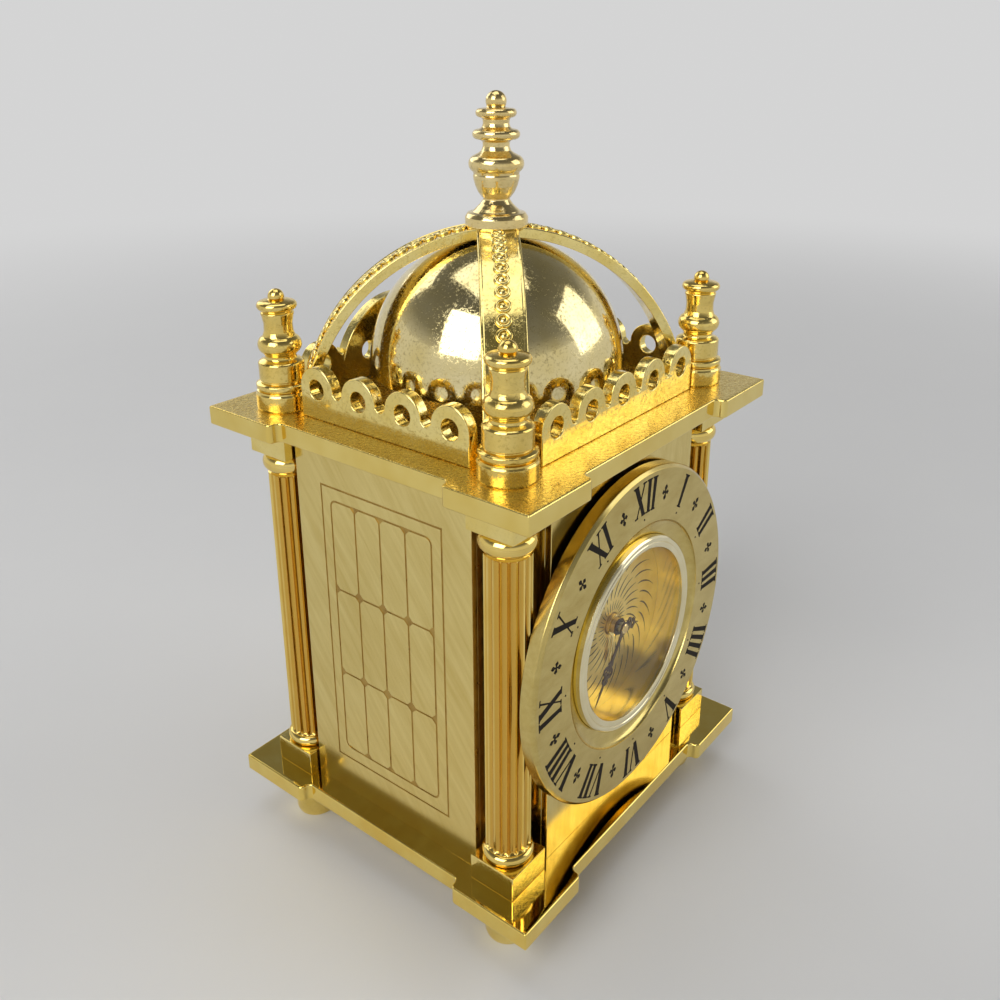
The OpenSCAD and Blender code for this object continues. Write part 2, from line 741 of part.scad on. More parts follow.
// The rear gallery rises to a plain rounded crest between its two outer lobes
module gallery_rear() {
    s = gallery_sides[3];
    outer = (s[2] - 1) / 2 * s[3];
    half = outer + lobe_r;
    shoulder = crest_half * 0.55;
    color(brass) {
        rotate(s[0]) translate([0, 0, deck_z]) along_y(-s[1], -s[1] + gallery_t) difference() {
            union() {
                translate([-half, 0]) square([2 * half, band_h]);
                for (x = [-outer, outer]) lobe(x);
                intersection() {
                    translate([0, crest_h - crest_half * 1.06]) circle(r = crest_half * 1.06);
                    translate([-crest_half, 0]) square([2 * crest_half, crest_h]);
                }
            }
            for (x = [-outer, outer]) translate([x, hole_rise]) circle(r = hole_r);
            translate([0, hole_rise]) circle(r = hole_r);
            for (x = [-shoulder, shoulder]) translate([x, hole_rise]) circle(r = hole_r);
        }
        gallery_pegs(s, gallery_peg_r, gallery_peg_l);
    }
}

// Turned ring round the dial's axis from a profile of [radius, depth behind the front face]
module dial_ring(profile, face) {
    translate([0, face, dial_z]) rotate([-90, 0, 0]) rotate_extrude($fn = 128) polygon(profile);
}

module chapter_ring() {
    edge = 0.7;
    cove_r = chapter_flat_r - bezel_r - run;
    // The back is cut away where the ring passes in front of the columns
    relief = max(0, column_y + shaft_r + air - case_y);
    relief_r = front_half;
    profile = concat([[relief_r, chapter_t], [bezel_r + run, chapter_t],
        [bezel_r + run, cove_depth]],
        [for (i = [1:6]) let(a = i * 15) [bezel_r + run + cove_r * sin(a), cove_depth * cos(a)]],
        [[chapter_r - edge, 0]], arc([chapter_r - edge, edge], edge, -90, 0, 5),
        [[chapter_r, chapter_t - relief], [relief_r, chapter_t - relief]]);
    color(pale_brass) {
        dial_ring(profile, ring_face);
        for (p = ring_pegs) rod_y(p, peg_r, -case_y - relief - 0.6, front_in);
    }
}

// The bezel's shoulder rests on the front plate, its tube reaches in and holds the dial disc
module bezel_ring() {
    color(pale_brass) dial_ring([[sight_r, 0], [bezel_r, 0], [bezel_r, chapter_t],
        [bezel_tube_r, chapter_t], [bezel_tube_r, dial_depth + dial_t],
        [dial_seat_r, dial_depth + dial_t], [dial_seat_r, dial_depth - run],
        [bezel_in, dial_depth - run], [bezel_in, bezel_lip_t], [sight_r, bezel_lip_t]], ring_face);
}

module dial_glass() {
    color([0.8, 0.9, 0.95, 0.35]) rod_y(centre_p, bezel_in - run, glass_y, glass_back);
}

module dial_disc() {
    color(brass) difference() {
        rod_y(centre_p, dial_seat_r - run, dial_face, dial_back);
        rod_y(centre_p, pipe_hole, dial_face - 1, dial_back + 1);
    }
}

// Flat hand: hub, stem and a leaf near the tip, turned clockwise from twelve
module hand(l, angle, y0, bore, hub_r, stem_w, leaf_w, leaf_at) {
    translate([0, 0, dial_z]) along_y(y0, y0 + hand_t) rotate(-angle) difference() {
        union() {
            circle(r = hub_r);
            polygon([[stem_w / 2, 0], [stem_w / 2, l * leaf_at * 0.8], [leaf_w / 2, l * leaf_at],
                [stem_w / 3, l * 0.9], [0, l], [-stem_w / 3, l * 0.9], [-leaf_w / 2, l * leaf_at],
                [-stem_w / 2, l * leaf_at * 0.8], [-stem_w / 2, 0]]);
        }
        circle(r = bore);
    }
}

module hour_hand() {
    color(black) hand(hour_hand_l, shown_minutes / 2, hour_hand_y, hour_bore, hour_pipe + 0.7,
        0.9, 3, 0.62);
}

module minute_hand() {
    color(black) hand(minute_hand_l, shown_minutes * 6, minute_hand_y, cannon_bore,
        cannon_pipe + 0.5, 0.8, 2, 0.6);
}

module alarm_hand() {
    color(brass) hand(alarm_hand_l, alarm_angle, alarm_hand_y, alarm_bore, alarm_pipe + 0.5,
        0.7, 1.6, 0.75);
}

module hand_nut() {
    color(brass) difference() {
        rod_y(centre_p, 0.95, minute_hand_y - hand_nut_h, minute_hand_y);
        rod_y(centre_p, cannon_bore, minute_hand_y - 1, minute_hand_y + 1);
    }
}

module frame_plate(y0) {
    translate([-frame_half_w, y0, frame_z - frame_h / 2]) cube([2 * frame_half_w, frame_t, frame_h]);
}

module pivot_holes(y0) {
    for (p = [third_p, fourth_p, escape_p, alarm_escape_p])
        rod_y(p, pivot_r + run, y0 - 1, y0 + frame_t + 1);
    for (p = [centre_p, set_p, alarm_set_p, hammer_p])
        rod_y(p, arbor_r + run, y0 - 1, y0 + frame_t + 1);
    for (p = pillar_spots) rod_y(p, stud_r + run, y0 - 1, y0 + frame_t + 1);
}

module movement_front_plate() {
    color(brass) difference() {
        frame_plate(fp0);
        pivot_holes(fp0);
        for (p = [time_p, alarm_p]) rod_y(p, barrel_pivot_r + run, fp0 - 1, fp1 + 1);
        for (p = [pallet_p, balance_p]) rod_y(p, pivot_r + run, fp0 - 1, fp1 + 1);
    }
}

module movement_back_plate() {
    color(brass) difference() {
        frame_plate(bp0);
        pivot_holes(bp0);
        for (p = [time_p, alarm_p]) rod_y(p, winding_arbor_r + run, bp0 - 1, bp1 + 1);
        rod_y(stop_p, stop_r + run, bp0 - 1, bp1 + 1);
    }
    color(steel) for (p = [time_click_p, alarm_click_p])
        rod_y(p, click_pin_r, bp1, ratchet_y0 + ratchet_t + air);
}

// Spacers in front, pillars between the plates and long posts to the rear cover
module movement_pillars() {
    color(brass) for (p = pillar_spots) {
        difference() {
            rod_y(p, pillar_r, front_in, fp0);
            rod_y(p, screw_r + run, front_in - 1, fp0 + 1);
        }
        rod_y(p, pillar_r, fp1, bp0);
        rod_y(p, stud_r, fp0, bp1);
        difference() {
            rod_y(p, pillar_r, bp1, rear_in);
            rod_y(p, screw_r + run, rear_in - 6, rear_in + 1);
        }
    }
}

module case_screws() {
    color(brass) for (p = pillar_spots) {
        rod_y(p, screw_r, rear_in - 5.5, case_y + 0.2);
        rod_y(p, screw_head_r, case_y, case_y + screw_head_t);
        rod_y(p, screw_r, -case_y + 0.1, fp0 - air);
        rod_y(p, screw_head_r, -case_y, -case_y + screw_head_t - 0.02);
    }
}

// Toothed barrel with its cap let into the open end
module barrel(p, n, m, turn) {
    color(brass) {
        difference() {
            union() {
                pinion(p, n, m, turn, great_y0, great_y0 + great_t, barrel_pivot_r + run);
                rod_y(p, barrel_r, great_y0 + great_t, drum_y1);
            }
            rod_y(p, barrel_r - barrel_wall, great_y0 + great_t, drum_y1 + 1);
            rod_y(p, barrel_pivot_r + run, great_y0 - 1, drum_y1);
        }
        difference() {
            rod_y(p, barrel_r - barrel_wall, drum_y1 - barrel_wall, drum_y1);
            rod_y(p, winding_arbor_r + run, drum_y1 - 2, drum_y1 + 1);
        }
    }
}

// Spiral strip between two radii
module spiral_strip(p, r0, r1, turns, t, y0, y1) {
    n = round(turns * 18);
    curve = [for (i = [0:n]) let(a = i * 360 * turns / n, r = r0 + (r1 - r0) * i / n)
        [r * cos(a), r * sin(a), a]];
    translate([p[0], 0, p[1]]) along_y(y0, y1) polygon(concat(
        [for (q = curve) [q[0] - t / 2 * cos(q[2]), q[1] - t / 2 * sin(q[2])]],
        [for (i = [n:-1:0]) let(q = curve[i]) [q[0] + t / 2 * cos(q[2]), q[1] + t / 2 * sin(q[2])]]));
}

module mainspring(p) {
    strip_t = 0.35;
    color(steel) spiral_strip(p, barrel_hub_r + run + strip_t / 2 + 0.05,
        barrel_r - barrel_wall - run - strip_t / 2, 6, strip_t,
        great_y0 + great_t + air, drum_y1 - barrel_wall - air);
}

// Saw-toothed ratchet: its slopes lift the click while the spring is wound
function ratchet_ring() = [for (i = [0:ratchet_n - 1]) let(a = i * 360 / ratchet_n)
    for (s = [[-2 - 0.1, ratchet_root], [0, ratchet_r]]) [s[1] * cos(a + s[0]), s[1] * sin(a + s[0])]];

module winding_arbor(p, click_turn) {
    color(steel) {
        rod_y(p, barrel_pivot_r, fp0 + 0.1, great_y0 + great_t + air);
        rod_y(p, barrel_hub_r, great_y0 + great_t + air / 2, drum_y1 - barrel_wall - air / 2);
        rod_y(p, winding_arbor_r, drum_y1 - barrel_wall - air, case_y + 0.6);
        translate([p[0] - square_w / 2, case_y + 0.5, p[1] - square_w / 2])
            cube([square_w, tail_y - case_y - 1.5, square_w]);
        translate([p[0], 0, p[1]]) along_y(ratchet_y0, ratchet_y0 + ratchet_t)
            rotate(click_turn) polygon(ratchet_ring());
    }
}

module winding_key(p) {
    sleeve_r = 2.1;
    wing_r = 2.3;
    wing_t = 1.4;
    web_w = 2.8;
    wing_y = tail_y - wing_r;
    key_y0 = case_y + 0.8;
    color(brass) difference() {
        union() {
            rod_y(p, sleeve_r, key_y0, tail_y);
            for (s = [-1, 1]) translate([p[0] + s * (key_span / 2 - wing_r), wing_y, p[1] - wing_t / 2])
                cylinder(r = wing_r, h = wing_t);
            translate([p[0] - key_span / 2 + wing_r, wing_y - web_w / 2, p[1] - wing_t / 2])
                cube([key_span - 2 * wing_r, web_w, wing_t]);
        }
        translate([p[0] - square_w / 2 - run, key_y0 - 1, p[1] - square_w / 2 - run])
            cube([square_w + 2 * run, tail_y - key_y0, square_w + 2 * run]);
    }
}

// Click: pivoted on the back plate, its tip in a gap of the ratchet
module click(p, turn) {
    pin = p + turned(click_pivot, turn);
    color(steel) difference() {
        union() {
            rod_y(pin, 1.2, ratchet_y0, ratchet_y0 + ratchet_t);
            translate([p[0], 0, p[1]]) along_y(ratchet_y0, ratchet_y0 + ratchet_t) rotate(turn)
                polygon([[(ratchet_root + 0.25) * cos(3.6), -(ratchet_root + 0.25) * sin(3.6)],
                    [ratchet_r + 1.4, -0.6], [ratchet_r + 1.4, click_pivot[1]],
                    [ratchet_r + 0.2, click_pivot[1]], [ratchet_r + 0.2, -1.8],
                    [(ratchet_root + 0.6) * cos(9), -(ratchet_root + 0.6) * sin(9)]]);
        }
        rod_y(pin, click_pin_r + run, ratchet_y0 - 1, ratchet_y0 + ratchet_t + 1);
    }
}

module centre_wheel() {
    color(steel) {
        rod_y(centre_p, arbor_r, minute_hand_y - hand_nut_h - 0.05, bp1 - 0.1);
        pinion(centre_p, centre_pinion_n, great_m, centre_turn, great_y0 - 1, great_y0 + great_t + 1, 0.1);
    }
    color(brass) wheel(centre_p, centre_n, centre_m, centre_turn, centre_y0, wheel_t, 0.1, 1.8);
}

module third_wheel() {
    color(steel) {
        train_arbor(third_p);
        pinion(third_p, third_pinion_n, centre_m, third_turn, centre_y0 - 1, centre_y0 + wheel_t + 1, 0.1);
    }
    color(brass) wheel(third_p, third_n, third_m, third_turn, third_y0, wheel_t, 0.1, 1.6);
}

module fourth_wheel() {
    color(steel) {
        train_arbor(fourth_p);
        pinion(fourth_p, fourth_pinion_n, third_m, fourth_turn, third_y0 - 1, third_y0 + wheel_t + 1, 0.1);
    }
    color(brass) wheel(fourth_p, fourth_n, fourth_m, fourth_turn, fourth_y0, wheel_t, 0.1, 1.5);
}

// Raked teeth of an escape wheel
module rake_wheel(p, n, r, depth, y0, t) {
    translate([p[0], 0, p[1]]) along_y(y0, y0 + t) polygon([for (i = [0:n - 1],
        s = [[0, r - depth], [0.12, r], [0.24, r - 0.05 * depth], [0.5, r - depth]])
        let(a = (i + s[0]) * 360 / n) [s[1] * cos(a), s[1] * sin(a)]]);
}

module escape_wheel() {
    color(steel) {
        train_arbor(escape_p);
        pinion(escape_p, escape_pinion_n, fourth_m, escape_turn, fourth_y0 - 0.8,
            fourth_y0 + wheel_t + 0.8, 0.1);
    }
    color(brass) rake_wheel(escape_p, escape_n, escape_r, 0.9, escape_y0, 0.6);
}

// Lever escapement: anchor arms round the escape wheel, fork towards the balance
module pallet_fork() {
    reach = lever_l - 1.6;
    color(steel) {
        rod_y(pallet_p, arbor_r, fp1 + 0.1, bridge_y0 - 0.1);
        rod_y(pallet_p, pivot_r, fp0 + 0.1, bridge_y0 + bridge_t - 0.1);
        translate([pallet_p[0], 0, pallet_p[1]]) along_y(escape_y0, escape_y0 + 0.6)
            rotate(lever_line + 180) {
                for (s = [-1, 1]) polygon([[-0.5, 0], [-0.2, s * 3.7], [2.8, s * 4.3],
                    [3.1, s * 3.6], [2.5, s * 3.3], [0.6, s * 2.9], [0.5, 0]]);
                polygon([[0, 0.4], [-reach + 0.6, 0.3], [-reach, 0.7], [-reach, 0.3],
                    [-reach + 0.3, 0], [-reach, -0.3], [-reach, -0.7], [-reach + 0.6, -0.3], [0, -0.4]]);
            }
    }
}

module balance_wheel() {
    rim = 0.8;
    color(steel) {
        rod_y(balance_p, 0.4, fp1 + 0.1, bridge_y0 - 0.1);
        rod_y(balance_p, pivot_r - 0.05, fp0 + 0.1, bridge_y0 + bridge_t - 0.1);
        rod_y(balance_p, 0.7, hairspring_y0 - 0.2, hairspring_y0 + 0.6);
    }
    color(brass) {
        translate([balance_p[0], 0, balance_p[1]]) along_y(balance_y0, balance_y0 + wheel_t) {
            difference() {
                circle(r = balance_r);
                circle(r = balance_r - rim);
            }
            square([2 * balance_r - rim, 0.9], center = true);
            circle(r = 1.3);
        }
        rod_y(away(balance_p, 1.1, lever_line + 180), 0.15, balance_y0, escape_y0 + 0.6);
        rod_y(balance_p, 1.3, balance_y0 + wheel_t, balance_y0 + wheel_t + 0.5);
    }
}

module hairspring() {
    color(steel) spiral_strip(balance_p, 0.7 + run + 0.1, 3.6, 6, 0.12, hairspring_y0, hairspring_y0 + 0.4);
}

module balance_bridge() {
    posts = [[balance_p[0] - 7.3, balance_p[1] - 4.9], [balance_p[0] + 8.5, balance_p[1] - 4.3]];
    color(brass) {
        difference() {
            translate([0, bridge_y0 + bridge_t, 0]) rotate([90, 0, 0]) linear_extrude(bridge_t)
                polygon([posts[0] + [-1.6, -1.6], posts[1] + [1.8, -1.6], posts[1] + [1.8, 2],
                    pallet_p + [2, 1.6], pallet_p + [-1, 2.2], balance_p + [1, 2.2],
                    balance_p + [-2, 1.8], posts[0] + [-1.6, 2]]);
            for (p = [pallet_p, balance_p]) rod_y(p, pivot_r + run, bridge_y0 - 1, bridge_y0 + bridge_t + 1);
        }
        for (p = posts) rod_y(p, 1.2, fp1, bridge_y0);
    }
}

module cannon_pinion() {
    color(steel) difference() {
        union() {
            pinion(centre_p, cannon_n, motion_m, 0, fp0 - 1.9, fp0 - air, cannon_bore);
            rod_y(centre_p, cannon_pipe, minute_hand_y + hand_t, fp0 - air);
        }
        rod_y(centre_p, cannon_bore, minute_hand_y - 1, fp0 + 1);
    }
}

// Arbor that carries the minute wheel in front and the hand-setting knob behind
module setting_arbor(p, y_front) {
    rod_y(p, arbor_r, y_front, rear_in - 2);
    rod_y(p, knob_neck_r, rear_in - 3, knob_y0 + 0.5);
    difference() {
        rod_y(p, knob_r, knob_y0, knob_y0 + knob_t);
        for (a = [0:20:340]) rod_y(away(p, knob_r + 0.1, a), 0.3, knob_y0 - 1, knob_y0 + knob_t + 1);
    }
}

module hand_setting_arbor() {
    minute_y0 = fp0 - 1.6;
    color(brass) {
        setting_arbor(set_p, minute_y0 - 2.2);
        wheel(set_p, minute_n, motion_m, set_turn, minute_y0, 0.8, 0.1, 2.4);
        pinion(set_p, minute_pinion_n, hour_m, set_turn, minute_y0 - 1.9, minute_y0, 0.1);
    }
}

module hour_wheel() {
    hour_y0 = fp0 - 3.3;
    color(brass) difference() {
        union() {
            wheel(centre_p, hour_n, hour_m, hour_turn, hour_y0, 0.8, hour_bore, 2.4);
            rod_y(centre_p, hour_pipe, hour_hand_y + hand_t, hour_y0 + 0.8);
        }
        rod_y(centre_p, hour_bore, hour_hand_y - 1, fp0);
    }
}

module alarm_wheel() {
    alarm_y0 = fp0 - 4.9;
    color(brass) difference() {
        union() {
            wheel(centre_p, alarm_wheel_n, alarm_m, 0, alarm_y0, 0.8, alarm_bore, 2.6);
            rod_y(centre_p, alarm_pipe, alarm_hand_y + hand_t, alarm_y0 + 0.8);
        }
        rod_y(centre_p, alarm_bore, alarm_hand_y - 1, fp0);
    }
}

module alarm_setting_arbor() {
    color(brass) {
        setting_arbor(alarm_set_p, fp0 - 5.2);
        pinion(alarm_set_p, alarm_pinion_n, alarm_m, alarm_set_turn, fp0 - 5.2, fp0 - 3.9, 0.1);
    }
}

module alarm_escape_wheel() {
    color(steel) {
        train_arbor(alarm_escape_p);
        pinion(alarm_escape_p, alarm_escape_pinion_n, alarm_great_m, alarm_escape_turn,
            great_y0 - 0.8, great_y0 + great_t + 0.8, 0.1);
    }
    color(brass) rake_wheel(alarm_escape_p, alarm_escape_n, alarm_escape_r, 1.1, alarm_escape_y0, wheel_t);
}

// Place of the hammer rod's middle at a height
function hammer_x(z) = hammer_p[0]
    + (hammer_head_x - hammer_p[0]) * (z - hammer_p[1]) / (hammer_head_z - hammer_p[1]);

module bell_hammer() {
    rise = hammer_head_z - hammer_p[1];
    run_x = hammer_head_x - hammer_p[0];
    color(steel) {
        rod_y(hammer_p, arbor_r, fp0 + 0.1, bp1 - 0.1);
        rod_y(hammer_p, 1.2, alarm_escape_y0, alarm_escape_y0 + wheel_t);
        translate([hammer_p[0], 0, hammer_p[1]]) along_y(alarm_escape_y0, alarm_escape_y0 + wheel_t)
            polygon([[3, -1.7], [0.2, 0.6], [-0.2, 0.6], [-3, -1.7], [-2.7, -2.1], [0, -0.35], [2.7, -2.1]]);
        translate([hammer_p[0], hammer_y, hammer_p[1]]) rotate([0, atan2(run_x, rise), 0])
            cylinder(r = hammer_rod_r, h = sqrt(rise * rise + run_x * run_x));
    }
    color(brass) translate([hammer_head_x, hammer_y, hammer_head_z])
        rotate([90, 0, 0]) sphere(r = hammer_head_r);
}

// Push rod: pressed in, its tip brakes the alarm escape wheel
module alarm_stop() {
    tip = alarm_escape_y0 + wheel_t + 0.2 + stop_travel;
    color(steel) rod_y(stop_p, stop_r, tip, tail_y - 1.2);
    color(brass) rod_y(stop_p, 2, tail_y - 2.2, tail_y);
}

base_plate();
feet();
column_blocks();
column(-1, -1);  // column_front_left
column(1, -1);  // column_front_right
column(-1, 1);  // column_back_left
column(1, 1);  // column_back_right
tie_rods();
front_plate();
side_panel(-1);  // left_panel
side_panel(1);  // right_panel
rear_cover();
top_plate();
corner_finials();
crown_straps();
bell();
bell_nut();
crown_finial();
gallery(gallery_sides[0]);  // gallery_front
gallery(gallery_sides[1]);  // gallery_left
gallery(gallery_sides[2]);  // gallery_right
gallery_rear();
chapter_ring();
bezel_ring();
dial_glass();
dial_disc();
hour_hand();
minute_hand();
alarm_hand();
hand_nut();
movement_front_plate();
movement_back_plate();
movement_pillars();
case_screws();
barrel(time_p, great_n, great_m, great_turn);  // time_barrel
mainspring(time_p);  // time_mainspring
winding_arbor(time_p, time_click_turn);  // time_winding_arbor
winding_key(time_p);  // time_winding_key
click(time_p, time_click_turn);  // time_click
barrel(alarm_p, alarm_great_n, alarm_great_m, 0);  // alarm_barrel
mainspring(alarm_p);  // alarm_mainspring
winding_arbor(alarm_p, alarm_click_turn);  // alarm_winding_arbor
winding_key(alarm_p);  // alarm_winding_key
click(alarm_p, alarm_click_turn);  // alarm_click
centre_wheel();
third_wheel();
fourth_wheel();
escape_wheel();
pallet_fork();
balance_wheel();
hairspring();
balance_bridge();
cannon_pinion();
hand_setting_arbor();
hour_wheel();
alarm_wheel();
alarm_setting_arbor();
alarm_escape_wheel();
bell_hammer();
alarm_stop();
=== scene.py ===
import json
from math import acos, asin, atan2, cos, degrees, pi, radians, sin, sqrt, tan
import bmesh
import bpy
from mathutils import Matrix, Vector


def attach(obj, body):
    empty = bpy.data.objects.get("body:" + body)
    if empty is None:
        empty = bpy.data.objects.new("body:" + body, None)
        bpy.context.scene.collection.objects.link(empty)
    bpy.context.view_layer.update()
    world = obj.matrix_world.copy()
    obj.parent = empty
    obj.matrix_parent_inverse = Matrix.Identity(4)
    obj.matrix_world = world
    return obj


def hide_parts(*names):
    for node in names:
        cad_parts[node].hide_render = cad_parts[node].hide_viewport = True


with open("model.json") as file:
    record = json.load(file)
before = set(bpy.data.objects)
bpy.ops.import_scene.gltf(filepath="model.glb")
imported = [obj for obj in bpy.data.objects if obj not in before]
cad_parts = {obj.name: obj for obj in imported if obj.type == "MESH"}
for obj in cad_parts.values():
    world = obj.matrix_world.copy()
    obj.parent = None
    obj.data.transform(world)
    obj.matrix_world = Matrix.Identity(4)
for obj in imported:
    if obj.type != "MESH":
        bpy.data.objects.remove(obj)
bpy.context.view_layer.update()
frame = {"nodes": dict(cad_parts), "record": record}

mm = 0.001
fullTurn = 2 * pi
scene = bpy.context.scene
joinWithin, shortestEdge = 2e-7, 1e-8  # in metres, when a mesh is cleaned
enamelFoot = -0.05  # in millimetres below the face that enamel stands on


# outlines, in millimetres

def arc(centre, radius, start, end, steps):
    angles = [radians(start + (end - start) * i / steps) for i in range(steps + 1)]
    return [(centre[0] + radius * cos(a), centre[1] + radius * sin(a)) for a in angles]


def softened(points, closed=False, steps=4):
    # points are (x, y) or (x, y, radius); a radius rounds that corner
    made, count = [], len(points)
    for i, point in enumerate(points):
        radius = point[2] if len(point) > 2 else 0
        here = Vector(point[:2])
        if not radius or (not closed and i in (0, count - 1)):
            made.append(tuple(here))
            continue
        before = Vector(points[i - 1][:2]) - here
        after = Vector(points[(i + 1) % count][:2]) - here
        half = before.angle(after) / 2
        reach = min(radius / tan(half), before.length * 0.49, after.length * 0.49)
        radius = reach * tan(half)
        middle = here + (before.normalized() + after.normalized()).normalized() * radius / sin(half)
        first = here + before.normalized() * reach - middle
        turn = first.angle_signed(here + after.normalized() * reach - middle)
        for k in range(steps + 1):
            made.append(tuple(middle + Matrix.Rotation(-turn * k / steps, 2) @ first))
    return made


def mirrored(half):
    # an outline drawn down its right side only, closed on the left
    return half + [(-x, y) for x, y in reversed(half) if abs(x) > 1e-6]


# meshes, in metres

def linked(name, data):
    made = bpy.data.objects.new(name, data)
    scene.collection.objects.link(made)
    return made


def asObject(name, mesh, material):
    for face in mesh.faces:
        face.smooth = True
    data = bpy.data.meshes.new(name)
    mesh.to_mesh(data)
    mesh.free()
    data.materials.append(material)
    return linked(name, data)


def addPiece(name, mesh, node, finish, body="clock_case", sharp=32):
    # node is the CAD node that the piece stands for, if any; sharp is in degrees
    mesh.verts.ensure_lookup_table()
    bmesh.ops.remove_doubles(mesh, verts=mesh.verts, dist=joinWithin)
    bmesh.ops.dissolve_degenerate(mesh, edges=mesh.edges, dist=shortestEdge)
    bmesh.ops.recalc_face_normals(mesh, faces=mesh.faces)
    limit = radians(sharp)
    for edge in mesh.edges:
        edge.smooth = len(edge.link_faces) == 2 and edge.calc_face_angle(0) < limit
    piece = asObject(name, mesh, finish.material)
    # large faces set the shading of the small rounded edges beside them
    piece.modifiers.new("flatFaces", "WEIGHTED_NORMAL").keep_sharp = True
    if node:
        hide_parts(node)
    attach(piece, body)


def addTurned(mesh, profile, place, steps=96, ripple=None):
    # profile points are (radius, height); ripple gives the radius at an angle for a point's number
    rings = []
    for number, (radius, height) in enumerate(profile):
        if radius < 1e-6:
            rings.append([mesh.verts.new(place @ Vector((0, 0, height * mm)))])
            continue
        ring = []
        for i in range(steps):
            angle = fullTurn * i / steps
            r = ripple(radius, angle, number) if ripple else radius
            spot = Vector((r * mm * cos(angle), r * mm * sin(angle), height * mm))
            ring.append(mesh.verts.new(place @ spot))
        rings.append(ring)
    for low, high in zip(rings, rings[1:]):
        for i in range(steps):
            j = (i + 1) % steps
            corners = [low[i % len(low)], low[j % len(low)], high[j % len(high)], high[i % len(high)]]
            distinct = list(dict.fromkeys(corners))
            if len(distinct) > 2:
                mesh.faces.new(distinct)


def turnedPiece(name, node, profile, places, steps, finish, body="clock_case"):
    mesh = bmesh.new()
    for place in places:
        addTurned(mesh, profile, place, steps)
    addPiece(name, mesh, node, finish, body)


def upright(x, y, z=0):
    return Matrix.Translation((x * mm, y * mm, z * mm))


def spun(angle, axis="Z"):
    return Matrix.Rotation(angle, 4, axis)


def facingFront(x, y, z):
    # the turning axis runs from the back to the front, out of the dial
    return upright(x, y, z) @ spun(pi / 2, "X")


def facingBack(x, y, z):
    # the turning axis runs from the front to the back, out of the rear cover
    return upright(x, y, z) @ spun(-pi / 2, "X")


def addSlab(mesh, loops, thickness, bevel, place, steps=2):
    # a bevelled plate from one outline and its holes, through a filled 2D curve
    curve = bpy.data.curves.new("draft", "CURVE")
    curve.dimensions = "2D"
    curve.fill_mode = "BOTH"
    curve.extrude = (thickness / 2 - bevel) * mm
    curve.bevel_depth = bevel * mm
    curve.bevel_resolution = steps
    curve.offset = -bevel * mm
    for loop in loops:
        spline = curve.splines.new("POLY")
        spline.points.add(len(loop) - 1)
        for point, (x, y) in zip(spline.points, loop):
            point.co = (x * mm, y * mm, 0, 1)
        spline.use_cyclic_u = True
    draft = linked("draft", curve)
    depsgraph = bpy.context.evaluated_depsgraph_get()
    data = bpy.data.meshes.new_from_object(draft.evaluated_get(depsgraph))
    data.transform(place)
    mesh.from_mesh(data)
    bpy.data.objects.remove(draft)
    bpy.data.meshes.remove(data)


def addBlock(mesh, low, high, bevel, steps=2):
    made = bmesh.ops.create_cube(mesh, size=1)["verts"]
    low, high = Vector(low) * mm, Vector(high) * mm
    for vert in made:
        vert.co = Vector([low[i] + (vert.co[i] + 0.5) * (high[i] - low[i]) for i in range(3)])
    edges = list({edge for vert in made for edge in vert.link_edges})
    bmesh.ops.bevel(mesh, geom=edges, offset=bevel * mm, segments=steps, profile=0.5, affect="EDGES")


def addPrism(mesh, outline, high, place):
    # a thin raised shape of flat enamel, its foot sunk into the metal below
    bottom = [mesh.verts.new(place @ Vector((x * mm, y * mm, enamelFoot * mm))) for x, y in outline]
    top = [mesh.verts.new(place @ Vector((x * mm, y * mm, high * mm))) for x, y in outline]
    mesh.faces.new(top)
    mesh.faces.new(bottom[::-1])
    for i in range(len(outline)):
        j = (i + 1) % len(outline)
        mesh.faces.new((bottom[i], bottom[j], top[j], top[i]))


def cutToTriangles(mesh):
    # only the shapes with more than four corners
    faces = [face for face in mesh.faces if len(face.verts) > 4]
    bmesh.ops.triangulate(mesh, faces=faces, ngon_method="EAR_CLIP")


def circle(x, y, radius, steps=32):
    return arc((x, y), radius, 0, 360 - 360 / steps, steps - 1)


# shader maths

def setStops(ramp, stops, blue=1):
    while len(ramp.elements) < len(stops):
        ramp.elements.new(0.5)
    for element, (at, tone) in zip(ramp.elements, stops):
        element.position, element.color = at, (tone, tone, tone * blue, 1)


class Flow:
    # an output of a material's node; arithmetic on it adds Math nodes
    def __init__(self, finish, socket):
        self.finish = finish
        self.socket = socket

    def maths(self, operation, first, second):
        return self.finish.node("ShaderNodeMath", {"operation": operation}, {0: first, 1: second})

    def __add__(self, other):
        return self.maths("ADD", self, other)

    __radd__ = __add__

    def __sub__(self, other):
        return self.maths("SUBTRACT", self, other)

    def __rsub__(self, other):
        return self.maths("SUBTRACT", other, self)

    def __mul__(self, other):
        return self.maths("MULTIPLY", self, other)

    __rmul__ = __mul__

    def __pow__(self, other):
        return self.maths("POWER", self, other)

    def __gt__(self, other):
        return self.maths("GREATER_THAN", self, other)


